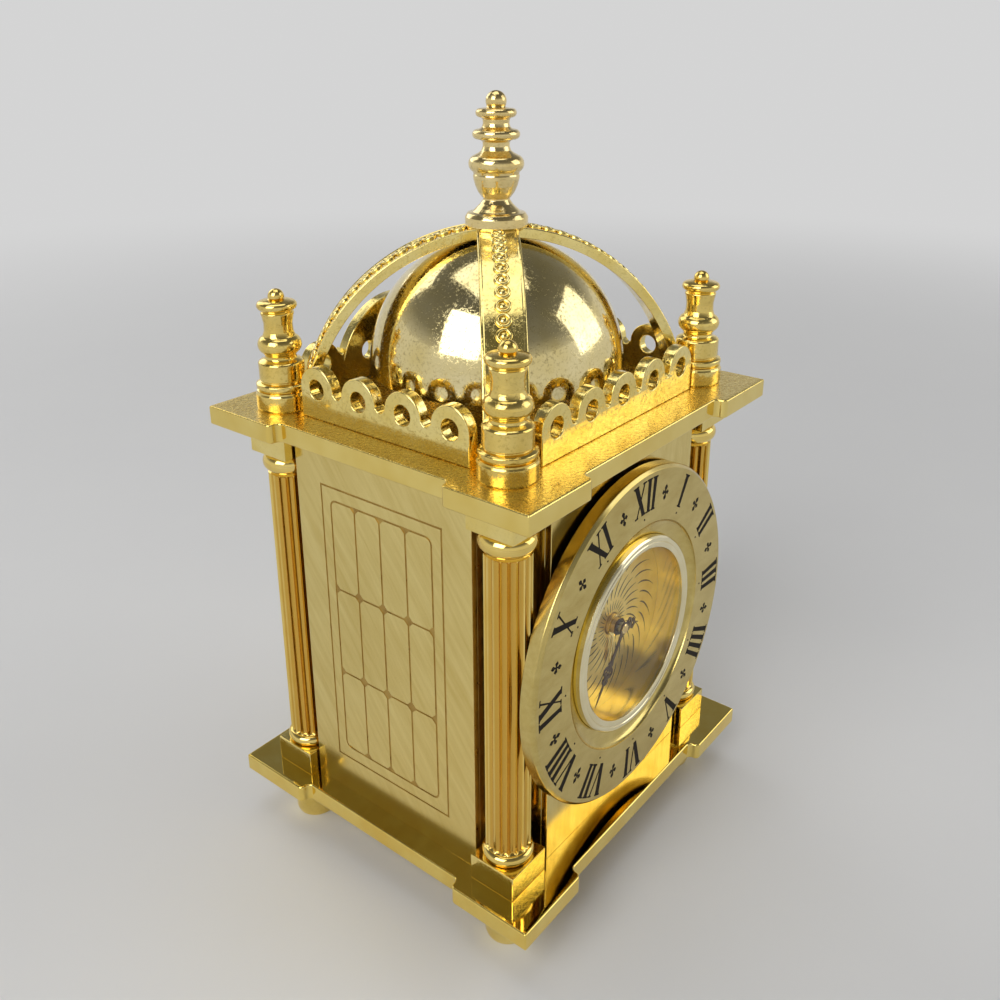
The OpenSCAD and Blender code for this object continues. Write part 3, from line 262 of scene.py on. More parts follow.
class Finish:
    def __init__(self, name, **steady):
        self.material = bpy.data.materials.new(name)
        self.material.use_nodes = True
        self.tree = self.material.node_tree
        self.shader = self.tree.nodes["Principled BSDF"]
        for socket, value in steady.items():
            self.shader.inputs[socket.replace("_", " ")].default_value = value

    def node(self, kind, settings, values, output=0):
        made = self.tree.nodes.new(kind)
        for key, value in settings.items():
            if key == "stops":
                setStops(made.color_ramp, value)
            else:
                setattr(made, key, value)
        for key, value in values.items():
            self.feed(made.inputs[key], value)
        return Flow(self, made.outputs[output])

    def feed(self, socket, value):
        # colours are given as (red, green, blue)
        if isinstance(value, Flow):
            self.tree.links.new(value.socket, socket)
        elif socket.type == "RGBA":
            socket.default_value = (*value, 1)
        else:
            socket.default_value = value

    def place(self):
        return self.node("ShaderNodeTexCoord", {}, {}, "Object")

    def stretched(self, turn, scale):
        # turned first, then scaled, so that slanting marks stay straight
        shares = tuple(1 / share for share in scale)
        return self.node("ShaderNodeMapping", {"vector_type": "TEXTURE"},
                         {"Vector": self.place(), "Rotation": turn, "Scale": shares})

    def noise(self, scale, detail, vector=None, roughness=0.6):
        return self.node("ShaderNodeTexNoise", {},
                         {"Vector": vector or self.place(), "Scale": scale, "Detail": detail,
                          "Roughness": roughness})

    def ramp(self, value, *stops):
        return self.node("ShaderNodeValToRGB", {"stops": stops}, {"Fac": value})

    def drift(self, scale=160):
        # slow changes from 0 to 1
        return self.ramp(self.noise(scale, 2), (0.3, 0.0), (0.7, 1.0))

    def along(self, axis):
        return self.node("ShaderNodeSeparateXYZ", {}, {"Vector": self.place()}, axis)

    def arrow(self, operation, first, second=(0, 0, 0), output=0):
        return self.node("ShaderNodeVectorMath", {"operation": operation}, {0: first, 1: second}, output)

    def blend(self, mask, first, second):
        return self.node("ShaderNodeMix", {"data_type": "RGBA"}, {0: mask, 6: first, 7: second}, 2)

    def either(self, first, second):
        return first.maths("MAXIMUM", first, second)

    def surface(self, **flows):
        for socket, value in flows.items():
            self.feed(self.shader.inputs[socket.replace("_", " ")], value)

    def bump(self, height, depth):
        # depth is in millimetres
        values = {"Height": height, "Distance": depth * mm, "Strength": 1.0}
        self.surface(Normal=self.node("ShaderNodeBump", {}, values, "Normal"))


# finishes

def platedBrass(name, pale, deep, gloss, speckle, grain=2600, bumpDepth=0.004):
    # bright plating: slow tone shifts, fine pits and speckles, faint handling marks
    made = Finish(name, Metallic=1.0)
    pits = made.ramp(made.noise(grain, 4, roughness=0.7), (0.52, 0.0), (0.68, 1.0))
    smears = made.noise(420, 3)
    tone = made.blend(made.drift(), pale, deep)
    dark = [channel * 0.62 for channel in deep]
    made.surface(Base_Color=made.blend(pits * speckle, tone, dark),
                 Roughness=gloss + pits * (0.35 * speckle) + smears * (gloss * 0.7))
    made.bump(pits + smears * 0.4, bumpDepth)
    return made


def brushedBrass(name, pale, deep, gloss, turn, scale, bumpDepth=0.003):
    # satin metal with fine parallel marks
    made = Finish(name, Metallic=1.0)
    marks = made.noise(1.0, 4, made.stretched(turn, scale), 0.7)
    slow = made.noise(90, 2)
    mask = made.ramp(marks * 0.75 + slow * 0.25, (0.34, 0.0), (0.66, 1.0))
    made.surface(Base_Color=made.blend(mask, pale, deep),
                 Roughness=gloss + marks * (gloss * 0.8) + slow * 0.03)
    made.bump(marks, bumpDepth)
    return made


goldBright = platedBrass("goldBright", (0.94, 0.77, 0.30), (0.87, 0.66, 0.18), 0.06, 0.2)
goldCast = platedBrass("goldCast", (0.97, 0.81, 0.33), (0.90, 0.69, 0.20), 0.09, 0.45, 1500, 0.010)
goldDeep = platedBrass("goldDeep", (0.91, 0.71, 0.24), (0.82, 0.58, 0.14), 0.08, 0.5, 1500, 0.008)
goldPale = platedBrass("goldPale", (0.91, 0.74, 0.36), (0.83, 0.62, 0.24), 0.08, 0.5, 1500, 0.008)
goldMirror = platedBrass("goldMirror", (0.94, 0.74, 0.22), (0.88, 0.63, 0.14), 0.03, 0.1, 2000, 0.001)
bellPlate = platedBrass("bellPlate", (0.90, 0.77, 0.42), (0.80, 0.65, 0.28), 0.05, 0.8, 1900, 0.004)
panelBrass = brushedBrass("panelBrass", (0.86, 0.70, 0.28), (0.70, 0.53, 0.16), 0.11,
                          (0, 0, 0), (500, 90, 90))
sideBrass = brushedBrass("sideBrass", (0.86, 0.70, 0.28), (0.72, 0.55, 0.18), 0.12,
                         (radians(55), 0, 0), (500, 45, 700))
ringBrass = brushedBrass("ringBrass", (0.70, 0.56, 0.21), (0.57, 0.43, 0.13), 0.14,
                         (0, 0, 0), (160, 420, 420))
discBrass = brushedBrass("discBrass", (0.95, 0.76, 0.27), (0.84, 0.63, 0.18), 0.24,
                         (0, 0, 0), (320, 320, 320), 0.001)
movementBrass = brushedBrass("movementBrass", (0.80, 0.62, 0.30), (0.66, 0.48, 0.20), 0.24,
                             (0, 0, 0), (120, 1300, 1300))


def bezelFinish(lipEnd):
    # creamy polished lip at the front, bright gold tube behind it
    made = Finish("paleBrass", Metallic=1.0)
    inside = made.along("Y") > lipEnd * mm
    smears = made.noise(420, 3)
    lip = made.blend(made.drift(), (0.90, 0.82, 0.56), (0.82, 0.72, 0.43))
    made.surface(Base_Color=made.blend(inside, lip, (0.95, 0.76, 0.20)),
                 Roughness=0.09 + smears * 0.07)
    made.bump(smears, 0.003)
    return made


def columnFinish(shaftR, low, high):
    # painted shade: the flutes' valleys are coloured browner, standing in for the shade and warm reflections
    # down in them; all four columns fold onto one, whose axis is at 0
    made = Finish("goldFluted", Metallic=1.0)
    spot = made.arrow("SUBTRACT", made.arrow("ABSOLUTE", made.place()), (columnX * mm, columnY * mm, 0))
    out = made.arrow("LENGTH", made.arrow("MULTIPLY", spot, (1, 1, 0)), output="Value")
    valley = made.node("ShaderNodeMapRange", {}, {"Value": out, "From Min": (shaftR - 0.1) * mm,
                                                  "From Max": (shaftR - 0.32) * mm})
    shaft = made.node("ShaderNodeMath", {"operation": "COMPARE"},
                      {0: made.along("Z"), 1: (low + high) / 2 * mm, 2: (high - low) / 2 * mm})
    smears = made.noise(420, 3)
    tone = made.blend(made.drift(), (0.92, 0.71, 0.24), (0.84, 0.60, 0.15))
    # painted shade: the valley mask darkens the base colour to brown down the flutes of the shaft
    made.surface(Base_Color=made.blend(valley * shaft * 0.9, tone, (0.70, 0.41, 0.07)),
                 Roughness=0.07 + smears * 0.06 + valley * shaft * 0.12)
    made.bump(smears, 0.003)
    return made


def sandyFinish(faceHeight):
    # the upper face is grainy and specked, the edges below faceHeight are polished
    made = Finish("goldSandy", Metallic=1.0)
    face = made.along("Z") > (faceHeight - 0.1) * mm
    grains = made.ramp(made.noise(1500, 3, roughness=0.65), (0.40, 0.0), (0.62, 1.0))
    specks = made.ramp(made.noise(2300, 2, roughness=0.5), (0.60, 0.0), (0.68, 1.0))
    tone = made.blend(made.drift(130), (0.92, 0.73, 0.24), (0.84, 0.62, 0.16))
    grainy = made.blend(grains * face * 0.6, tone, (0.80, 0.56, 0.12))
    made.surface(Base_Color=made.blend(specks * face * 0.75, grainy, (0.34, 0.19, 0.05)),
                 Roughness=0.06 + face * 0.13 + grains * face * 0.12)
    made.bump(grains * face, 0.02)
    return made


def grooveFinish():
    # painted shade: the floor of the engraved lines and the flanges in the gaps beside the columns are a
    # darker brown, standing in for the shade down in these recesses, with some shine left
    made = Finish("grooveShade", Metallic=1.0)
    mottle = made.ramp(made.noise(350, 2), (0.25, 0.0), (0.75, 1.0))
    made.surface(Base_Color=made.blend(mottle, (0.40, 0.24, 0.06), (0.62, 0.42, 0.12)),
                 Roughness=0.24 + mottle * 0.2)
    return made


def inkFinish(name, dark, pale, gloss):
    made = Finish(name, Specular_IOR_Level=0.12)
    mottle = made.noise(1400, 3)
    made.surface(Base_Color=made.blend(mottle, dark, pale), Roughness=gloss + mottle * 0.2)
    made.bump(mottle, 0.003)
    return made


def steelFinish():
    made = Finish("turnedSteel", Metallic=1.0)
    marks = made.noise(1.0, 3, made.stretched((0, 0, 0), (1500, 90, 1500)), 0.7)
    made.surface(Base_Color=made.blend(marks, (0.62, 0.62, 0.64), (0.46, 0.46, 0.48)),
                 Roughness=0.18 + marks * 0.2)
    made.bump(marks, 0.002)
    return made


def glassFinish():
    # thin flat glass: only its reflection and a little dust hide what is behind it
    made = Finish("dialGlass", Metallic=1.0)
    dust = made.ramp(made.noise(700, 4), (0.62, 0.0), (0.8, 1.0))
    shine = made.node("ShaderNodeLayerWeight", {}, {"Blend": 0.5}, "Facing") ** 5 * 0.5 + 0.012
    made.surface(Base_Color=made.blend(dust, (1.0, 1.0, 1.0), (0.92, 0.93, 0.92)),
                 Roughness=0.01 + dust * 0.05, Alpha=shine + dust * 0.03)
    return made


deck, lipBack = 86.6, -30.72  # the top plate's upper face, and the y where the bezel's lip ends
paleBrass = bezelFinish(lipBack)
goldSandy = sandyFinish(deck)
grooveShade = grooveFinish()
blackEnamel = inkFinish("blackEnamel", (0.010, 0.007, 0.004), (0.026, 0.018, 0.011), 0.5)
strokeBrown = inkFinish("strokeBrown", (0.035, 0.022, 0.010), (0.09, 0.06, 0.025), 0.3)
handBrown = inkFinish("handBrown", (0.055, 0.028, 0.010), (0.115, 0.062, 0.024), 0.3)
turnedSteel = steelFinish()
dialGlassFinish = glassFinish()
print("finishes made")


# plates

plates = {"width": 73.7, "depth": 70, "thick": 3.4, "step": 2, "earX": 21, "earY": 18.85,
          "baseLow": 8.8, "topLow": 83.2, "bevel": 0.32}
caseLow, caseHigh = 12.2, 83.2  # the case stands between the two plates
columnX, columnY = 28.4, 24.8
cornerSigns = [(-1, -1), (1, -1), (-1, 1), (1, 1)]


def atColumns(z=0):
    return [upright(sx * columnX, sy * columnY, z) for sx, sy in cornerSigns]


def plateOutline():
    # one corner with its ear and the two steps beside it, then the other three corners
    r = plates["step"] / 2
    halfX, halfY = plates["width"] / 2, plates["depth"] / 2
    x1, y1, ex, ey = halfX - 2 * r, halfY - 2 * r, plates["earX"], plates["earY"]
    quarter = (arc((x1 + r, ey - r), r, 180, 90, 6) + arc((x1 + r, ey + r), r, -90, 0, 6)
               + softened([(halfX, halfY - 1), (halfX, halfY, 0.25), (halfX - 1, halfY)])
               + arc((ex + r, y1 + r), r, 90, 180, 6) + arc((ex - r, y1 + r), r, 0, -90, 6))
    return (quarter + [(-x, y) for x, y in reversed(quarter)] + [(-x, -y) for x, y in quarter]
            + [(x, -y) for x, y in reversed(quarter)])


def makePlate(name, node, low, finish):
    mesh = bmesh.new()
    place = upright(0, 0, low + plates["thick"] / 2)
    addSlab(mesh, [plateOutline()], plates["thick"], plates["bevel"], place)
    addPiece(name, mesh, node, finish)


makePlate("basePlateMirror", "base_plate", plates["baseLow"], goldMirror)
makePlate("topPlateSandy", "top_plate", plates["topLow"], goldSandy)
print("plates made")


# feet, blocks and columns

foot = {"radius": 4.05, "height": 8.8, "waist": 0.5}
block = {"width": 9.1, "height": 4.8, "bevel": 0.22, "play": 0.01}
column = {"shaftR": 3.85, "flutes": 18, "fluteDepth": 0.5, "fluteShare": 0.46,
          "low": 17.0, "shaftLow": 19.3, "shaftHigh": 74.7, "high": 78.4,
          "fades": (0, 0.35, 0.6, 0.8, 0.95, 1.0), "fadeFrom": 0.12, "fadeStep": 0.09}

r, waist, top = foot["radius"], foot["radius"] - foot["waist"], foot["height"] - 0.02
footProfile = softened([(0, 0), (r - 0.2, 0, 0.3), (r, 0.9, 0.3), (r, 6.6, 0.3), (waist, 7.2, 0.2),
                        (waist, 7.6, 0.2), (r, 8.0, 0.2), (r, top, 0.1), (0, top)])
turnedPiece("feetTurned", "feet", footProfile, atColumns(), 64, goldBright)

mesh = bmesh.new()
half, high, play = block["width"] / 2, block["height"], block["play"]
for sx, sy in cornerSigns:
    for low in (caseLow, caseHigh - high):
        addBlock(mesh, (sx * columnX - half, sy * columnY - half, low + play),
                 (sx * columnX + half, sy * columnY + half, low + high - play), block["bevel"])
addPiece("columnBlocksBevelled", mesh, "column_blocks", goldBright)


def fluteRipple(radius, angle, number):
    if abs(radius - column["shaftR"]) > 0.001:
        return radius
    turn = (angle / fullTurn * column["flutes"]) % 1 - 0.5
    share = max(0.0, 1 - (turn / column["fluteShare"]) ** 2)
    return radius - column["fluteDepth"] * sqrt(share) * fluteFade.get(number, 1)


def columnProfile():
    # base ring, fluted shaft, cushion; the shaft's end rings fade the flutes out
    r, low, high = column["shaftR"], column["low"], column["high"]
    shaftLow, shaftHigh = column["shaftLow"], column["shaftHigh"]
    base = softened([(0, low), (3.3, low), (4.0, low + 0.15, 0.1)])
    base += arc((3.42, low + 1.15), 1.0, -75, 75, 12) + [(3.7, shaftLow - 0.05), (3.62, shaftLow)]
    insets = [column["fadeFrom"] + k * column["fadeStep"] for k in range(len(column["fades"]))]
    heights = [shaftLow + inset for inset in insets] + [shaftHigh - inset for inset in reversed(insets)]
    shaft = [(r, height) for height in heights]
    fades = dict(enumerate(column["fades"] + column["fades"][::-1], len(base)))
    top = [(3.62, shaftHigh), (3.5, shaftHigh + 0.12)]
    top += arc((2.95, high - 1.85), 1.72, -68, 68, 14) + [(3.6, high - 0.05), (0, high - 0.05)]
    return base + shaft + top, fades


profile, fluteFade = columnProfile()
goldFluted = columnFinish(column["shaftR"], column["shaftLow"], column["shaftHigh"])
for place, words in zip(atColumns(), ("front left", "front right", "back left", "back right")):
    mesh = bmesh.new()
    addTurned(mesh, profile, place, column["flutes"] * 12, fluteRipple)
    name, node = "columnFluted" + words.title().replace(" ", ""), "column_" + words.replace(" ", "_")
    addPiece(name, mesh, node, goldFluted, sharp=40)
print("columns made")


# case panels

panel = {"face": 31.0, "halfWidth": 19.8, "sheet": 1.2, "flangeEnd": 22.9, "groove": 0.34, "depth": 0.12,
         "outer": (13.7, 19.9, 75.6), "inner": (11.5, 22.4, 73.2), "rows": (39.0, 56.1),
         "columns": (-5.8, 0.0, 5.8), "lozenge": 0.8, "round": 1.25}


def cellOutline(y0, z0, y1, z1, cuts=(0, 0, 0, 0), rounds=(0, 0, 0, 0)):
    # a rectangle whose corners are cut off, or rounded, by the sizes given
    made = []
    corners = ((y0, z0, 1, 1), (y1, z0, -1, 1), (y1, z1, -1, -1), (y0, z1, 1, -1))
    for k, (y, z, inY, inZ) in enumerate(corners):
        if cuts[k]:
            steep, level = (y, z + inZ * cuts[k]), (y + inY * cuts[k], z)
            made += [level, steep] if k % 2 else [steep, level]
        else:
            made.append((y, z, rounds[k]))
    return softened(made, True)


def makeSidePanel(name, node, side):
    # raised islands on a darker sheet, so that the gaps between them are the engraved lines
    lift, gap = panel["depth"], panel["groove"] / 2
    halfWidth = panel["halfWidth"]
    out = side * (panel["face"] - lift / 2) * mm
    flip = Matrix(((0, 0, side, out), (side, 0, 0, 0), (0, 1, 0, 0), (0, 0, 0, 1)))
    outerY, outerLow, outerHigh = panel["outer"]
    innerY, innerLow, innerHigh = panel["inner"]
    edge = panel["round"]
    islands = [
        [cellOutline(-halfWidth, caseLow, halfWidth, caseHigh),
         cellOutline(-outerY - gap, outerLow - gap, outerY + gap, outerHigh + gap)],
        [cellOutline(-outerY + gap, outerLow + gap, outerY - gap, outerHigh - gap),
         cellOutline(-innerY - gap, innerLow - gap, innerY + gap, innerHigh + gap, rounds=(edge + gap,) * 4)]]
    ys = (-innerY, *panel["columns"], innerY)
    zs = (innerLow, *panel["rows"], innerHigh)
    # the lattice's own corners are rounded, all others are cut, so that four cells leave a lozenge
    outermost = {(0, 0): 0, (3, 0): 1, (3, 2): 2, (0, 2): 3}
    for i in range(len(ys) - 1):
        for j in range(len(zs) - 1):
            rounded = outermost.get((i, j))
            cuts = [0 if k == rounded else panel["lozenge"] for k in range(4)]
            rounds = [edge - gap if k == rounded else 0 for k in range(4)]
            islands.append([cellOutline(ys[i] + gap, zs[j] + gap, ys[i + 1] - gap, zs[j + 1] - gap,
                                        cuts, rounds)])
    faces = bmesh.new()
    for loops in islands:
        addSlab(faces, loops, lift, 0.04, flip, 1)
    sheet = bmesh.new()
    high = panel["face"] - lift + 0.005
    low = panel["face"] - panel["sheet"]
    span = sorted((side * low, side * high))
    deep = sorted((side * panel["flangeEnd"], side * low))
    addBlock(sheet, (span[0], -halfWidth, caseLow), (span[1], halfWidth, caseHigh), 0.03, 1)
    for sy in (-1, 1):
        ends = sorted((sy * (halfWidth - panel["sheet"]), sy * halfWidth))
        addBlock(sheet, (deep[0], ends[0], caseLow), (deep[1], ends[1], caseHigh), 0.05, 1)
    # painted shade: the sheet is darker brown so that the engraved lines and the gaps beside the columns look
    # shaded
    addPiece(name + "Sheet", sheet, node, grooveShade)
    addPiece(name + "Engraved", faces, node, sideBrass)


makeSidePanel("leftPanel", "left_panel", -1)
makeSidePanel("rightPanel", "right_panel", 1)
print("panels made")


# front plate and rear cover: bevelled sheets with their side flanges; holes are (x, z, radius)
cover = {"half": 22.05, "face": 28.25, "sheet": 1.2, "flangeEnd": 19.8, "bevel": 0.14,
         "front": [(0, 48.15, 17.25)],
         "rear": [(-3.83, 33.85, 1.8), (8.0, 63.75, 1.8), (-10.8, 48.15, 1.05), (-5.1, 56.98, 1.05),
                  (-8.26, 65.88, 0.95)]}


def makeCover(name, node, side, holes):
    mesh = bmesh.new()
    half, face, sheet = cover["half"], cover["face"], cover["sheet"]
    loops = [[(-half, caseLow), (half, caseLow), (half, caseHigh), (-half, caseHigh)]]
    for x, z, radius in holes:
        steps = 96 if radius > 5 else 28
        loops.append(circle(x, z, radius, steps)[::-1])
    addSlab(mesh, loops, sheet, cover["bevel"], facingFront(0, side * (face - sheet / 2), 0))
    ends = sorted((side * cover["flangeEnd"], side * (face - sheet)))
    for sx in (-1, 1):
        across = sorted((sx * (half - sheet), sx * half))
        addBlock(mesh, (across[0], ends[0], caseLow), (across[1], ends[1], caseHigh), 0.05, 1)
    addPiece(name, mesh, node, panelBrass)


makeCover("frontPlateSheet", "front_plate", -1, cover["front"])
makeCover("rearCoverSheet", "rear_cover", 1, cover["rear"])
print("covers made")


# crown: corner finials, straps, bell, crown finial, galleries

cornerFinial = softened([
    (0, 0.0), (4.55, 0, 0.1), (4.67, 0.35, 0.1), (4.67, 2.75, 0.15), (4.45, 3.05, 0.08), (4.45, 3.3, 0.05),
    (3.95, 3.45, 0.1), (4.0, 3.6, 0.05), (4.52, 3.75, 0.2), (4.52, 4.5, 0.25), (3.95, 4.75, 0.1),
    (3.6, 4.85, 0.1), (3.6, 5.05, 0.08), (3.9, 5.2, 0.12), (3.9, 8.1, 0.2), (3.75, 8.3, 0.1),
    (3.55, 8.45, 0.15), (2.75, 8.75, 0.4), (2.6, 9.3, 0.5), (2.95, 9.75, 0.4)])
cornerFinial += arc((2.1, 11.2), 1.65, -58, 62, 16)
cornerFinial += softened([(2.75, 12.85, 0.3), (2.5, 13.6, 0.8), (2.45, 14.9, 1.5), (2.7, 16.2, 1.0),
                          (2.85, 16.75, 0.3), (2.6, 17.0, 0.15)])
cornerFinial += arc((2.65, 18.0), 0.75, -70, 75, 10)
cornerFinial += softened([(2.2, 18.9, 0.2), (1.45, 19.0, 0.3), (1.15, 19.2, 0.1)])
cornerFinial += arc((0, 19.4), 1.4, -5, 90, 12)

turnedPiece("cornerFinialsTurned", "corner_finials", cornerFinial, atColumns(deck), 96, goldDeep)

arch = {"centre": 82.2, "outer": 34.8, "thick": 1.75, "width": 7.1, "bevel": 0.2, "steps": 80,
        "ringPitch": 2.62, "ringR": 1.02, "wireR": 0.3, "beadR": 0.62,
        "chainStart": 0.19, "chainEnd": 0.2}
strapTurn = atan2(columnY, columnX)


def strapPoint(angle, radius, across):
    # angle is measured up from the horizontal, across is sideways on the strap
    out = radius * cos(angle)
    return Vector((out * cos(strapTurn) - across * sin(strapTurn),
                   out * sin(strapTurn) + across * cos(strapTurn),
                   arch["centre"] + radius * sin(angle))) * mm


def makeStraps():
    # one arm is cut off at the clock's two middle planes and mirrored into the other three
    quarter = bmesh.new()
    half, outer, b = arch["width"] / 2, arch["outer"], arch["bevel"]
    inner = outer - arch["thick"]
    section = softened([(-half, inner, 0.1), (half, inner, 0.1), (half, outer, b), (half - 0.45, outer),
                        (half - 0.6, outer - 0.1), (-half + 0.6, outer - 0.1), (-half + 0.45, outer),
                        (-half, outer, b)], True, 3)
    start = asin((deck - arch["centre"]) / arch["outer"])
    end = pi / 2 + 0.2
    rings = []
    for k in range(arch["steps"] + 1):
        angle = start + (end - start) * k / arch["steps"]
        rings.append([quarter.verts.new(strapPoint(angle, radius, across)) for across, radius in section])
    for low, high in zip(rings, rings[1:]):
        for i in range(len(section)):
            j = (i + 1) % len(section)
            quarter.faces.new((low[i], low[j], high[j], high[i]))
    quarter.faces.new(rings[0])
    for normal in ((1, 0, 0), (0, 1, 0)):
        bmesh.ops.bisect_plane(quarter, geom=quarter.verts[:] + quarter.edges[:] + quarter.faces[:],
                               plane_co=(0, 0, 0), plane_no=normal, clear_inner=True, dist=1e-8)
    whole = bmesh.new()
    draft = bpy.data.meshes.new("draft")
    quarter.to_mesh(draft)
    quarter.free()
    for sx, sy in cornerSigns:
        copy = draft.copy()
        copy.transform(Matrix.Diagonal((sx, sy, 1, 1)))
        if sx * sy < 0:
            copy.flip_normals()
        whole.from_mesh(copy)
        bpy.data.meshes.remove(copy)
    bpy.data.meshes.remove(draft)
    bmesh.ops.remove_doubles(whole, verts=whole.verts, dist=2e-6)
    addPiece("crownStrapsMilled", whole, "crown_straps", goldCast)


def makeStrapChains():
    # rings with a bead in each, standing on the straps' outer faces
    mesh = bmesh.new()
    step = arch["ringPitch"] / arch["outer"]
    start = pi / 2 - arch["chainStart"]
    links = 1 + int((start - arch["chainEnd"]) / step)
    face = arch["outer"] - 0.12
    ringProfile = arc((arch["ringR"], 0), arch["wireR"], -30, 210, 10)
    r = arch["beadR"]
    bead = softened([(r, 0.0), (r * 0.98, 0.16, 0.05), (r * 0.7, 0.3, 0.1)]) + [(r * 0.35, 0.38), (0, 0.4)]
    for sx, sy in cornerSigns:
        mirror = Matrix.Diagonal((sx, sy, 1, 1))
        for k in range(links):
            angle = start - k * step
            out = cos(angle)
            up = Vector((out * cos(strapTurn), out * sin(strapTurn), sin(angle)))
            side = Vector((-sin(strapTurn), cos(strapTurn), 0))
            along = up.cross(side)
            place = Matrix(((*along, 0), (*side, 0), (*up, 0), (0, 0, 0, 1))).transposed()
            place.translation = strapPoint(angle, face, 0)
            place = mirror @ place
            addTurned(mesh, [(r, h + 0.12) for r, h in ringProfile], place, 28)
            addTurned(mesh, [(r, h + 0.05) for r, h in bead], place, 20)
    addPiece("crownStrapChains", mesh, "crown_straps", goldCast)


makeStraps()
makeStrapChains()

bell = {"low": 92.55, "radius": 22.6, "wall": 1.2, "skirt": 0.7, "bore": 1.25}
outerR, innerR, lip = bell["radius"], bell["radius"] - bell["wall"], -bell["skirt"]
bores = [degrees(acos(bell["bore"] / r)) for r in (outerR, innerR)]
bellProfile = ([(outerR - 0.1, lip + 0.08), (outerR, lip + 0.2)]
               + arc((0, 0), outerR, 0, bores[0], 48) + arc((0, 0), innerR, 0, bores[1], 32)[::-1]
               + [(innerR, lip + 0.2), (innerR + 0.12, lip), (outerR - 0.3, lip), (outerR - 0.1, lip + 0.08)])
turnedPiece("bellDome", "bell", bellProfile, [upright(0, 0, bell["low"])], 160, bellPlate)

crownSeat = 116.4
crownProfile = softened([
    (0, -0.2), (4.9, -0.2, 0.1), (5.25, 0.05, 0.2), (5.4, 0.5, 0.2), (5.4, 1.9, 0.35), (4.95, 2.6, 0.35),
    (4.1, 2.75, 0.1), (3.95, 2.95, 0.1), (3.45, 3.4, 0.5), (2.75, 4.1, 0.4), (2.3, 4.75, 0.2),
    (2.3, 5.0, 0.15), (2.5, 5.2, 0.1), (3.1, 6.0, 0.6), (3.6, 7.1, 0.6), (3.9, 8.2, 0.3),
    (3.95, 8.75, 0.15), (3.85, 9.0, 0.05)])
crownProfile += arc((3.2, 10.65), 1.5, -58, 62, 14)
crownProfile += softened([(3.1, 12.35, 0.4), (2.5, 12.8, 0.3), (2.25, 13.5, 0.4), (2.3, 14.2, 0.2),
                          (2.75, 14.55, 0.15)])
crownProfile += arc((3.2, 15.4), 0.8, -75, 75, 12)
crownProfile += softened([(2.75, 16.3, 0.15), (2.35, 16.6, 0.2), (2.2, 17.2, 0.3), (2.3, 17.8, 0.2),
                          (2.5, 18.0, 0.1)])
crownProfile += arc((2.71, 18.8), 0.72, -75, 75, 12)
crownProfile += softened([(2.1, 19.6, 0.1), (1.65, 19.65, 0.1), (1.55, 19.85, 0.15)])
crownBall = [radians(a) for a in range(-20, 91, 10)]
crownProfile += [(1.75 * cos(a), 20.65 + 1.7 * sin(a)) for a in crownBall]
crownStud = [(0, -3.6), (1.35, -3.6), (1.4, -3.5), (1.4, 0.0), (0, 0)]
mesh = bmesh.new()
addTurned(mesh, crownProfile, upright(0, 0, crownSeat), 96)
addTurned(mesh, crownStud, upright(0, 0, crownSeat), 32)
addPiece("crownFinialTurned", mesh, "crown_finial", goldPale)
print("crown made")

gallery = {"thick": 2.1, "lobeR": 3.85, "holeRise": 5.25, "holeR": 1.7, "bandHigh": 5.4, "hollow": 0.75,
           "bevel": 0.22, "foot": 0.02, "frontY": 26.8, "frontLobes": 5, "frontPitch": 9.45,
           "sideX": 29.75, "sideLobes": 4, "sidePitch": 9.8}


def galleryOutline(lobes, pitch):
    # round lobes that meet in small hollows, over a straight band
    reach = (lobes - 1) / 2 * pitch
    half, r, rise = reach + gallery["lobeR"], gallery["lobeR"], gallery["holeRise"]
    points = [(-half, gallery["foot"]), (half, gallery["foot"]), (half, rise)]
    gap, hollow = pitch / 2, gallery["hollow"]
    tilt = acos(gap / (r + hollow)) if gap < r + hollow else 0
    lowCentre = rise + (r + hollow) * sin(tilt)
    turn = degrees(tilt)
    for i in reversed(range(lobes)):
        x = (i - (lobes - 1) / 2) * pitch
        start = 0 if i == lobes - 1 else turn
        end = 180 if i == 0 else 180 - turn
        points += arc((x, rise), r, start, end, 20)
        if i:
            points += arc((x - gap, lowCentre), hollow, -turn, turn - 180, 8)[1:-1]
    return points


def galleryPlace(turn, out):
    # outlines are drawn in (x, z) with the outer face at -y, then turned about the clock's axis
    return spun(radians(turn)) @ facingFront(0, -(out - gallery["thick"] / 2), deck)


def makeGallery(name, node, turn, out, loops):
    mesh = bmesh.new()
    addSlab(mesh, loops, gallery["thick"], gallery["bevel"], galleryPlace(turn, out), 3)
    addPiece(name, mesh, node, goldCast)


def holesAt(places):
    return [circle(x, gallery["holeRise"], gallery["holeR"])[::-1] for x in places]


def piercedLobes(lobes, pitch):
    return [galleryOutline(lobes, pitch)] + holesAt([(i - (lobes - 1) / 2) * pitch for i in range(lobes)])


frontLoops = piercedLobes(gallery["frontLobes"], gallery["frontPitch"])
sideLoops = piercedLobes(gallery["sideLobes"], gallery["sidePitch"])
makeGallery("galleryFrontPierced", "gallery_front", 0, gallery["frontY"], frontLoops)
makeGallery("galleryLeftPierced", "gallery_left", -90, gallery["sideX"], sideLoops)
makeGallery("galleryRightPierced", "gallery_right", 90, gallery["sideX"], sideLoops)

crest = {"half": 14.0, "high": 14.9, "holeX": 7.7}


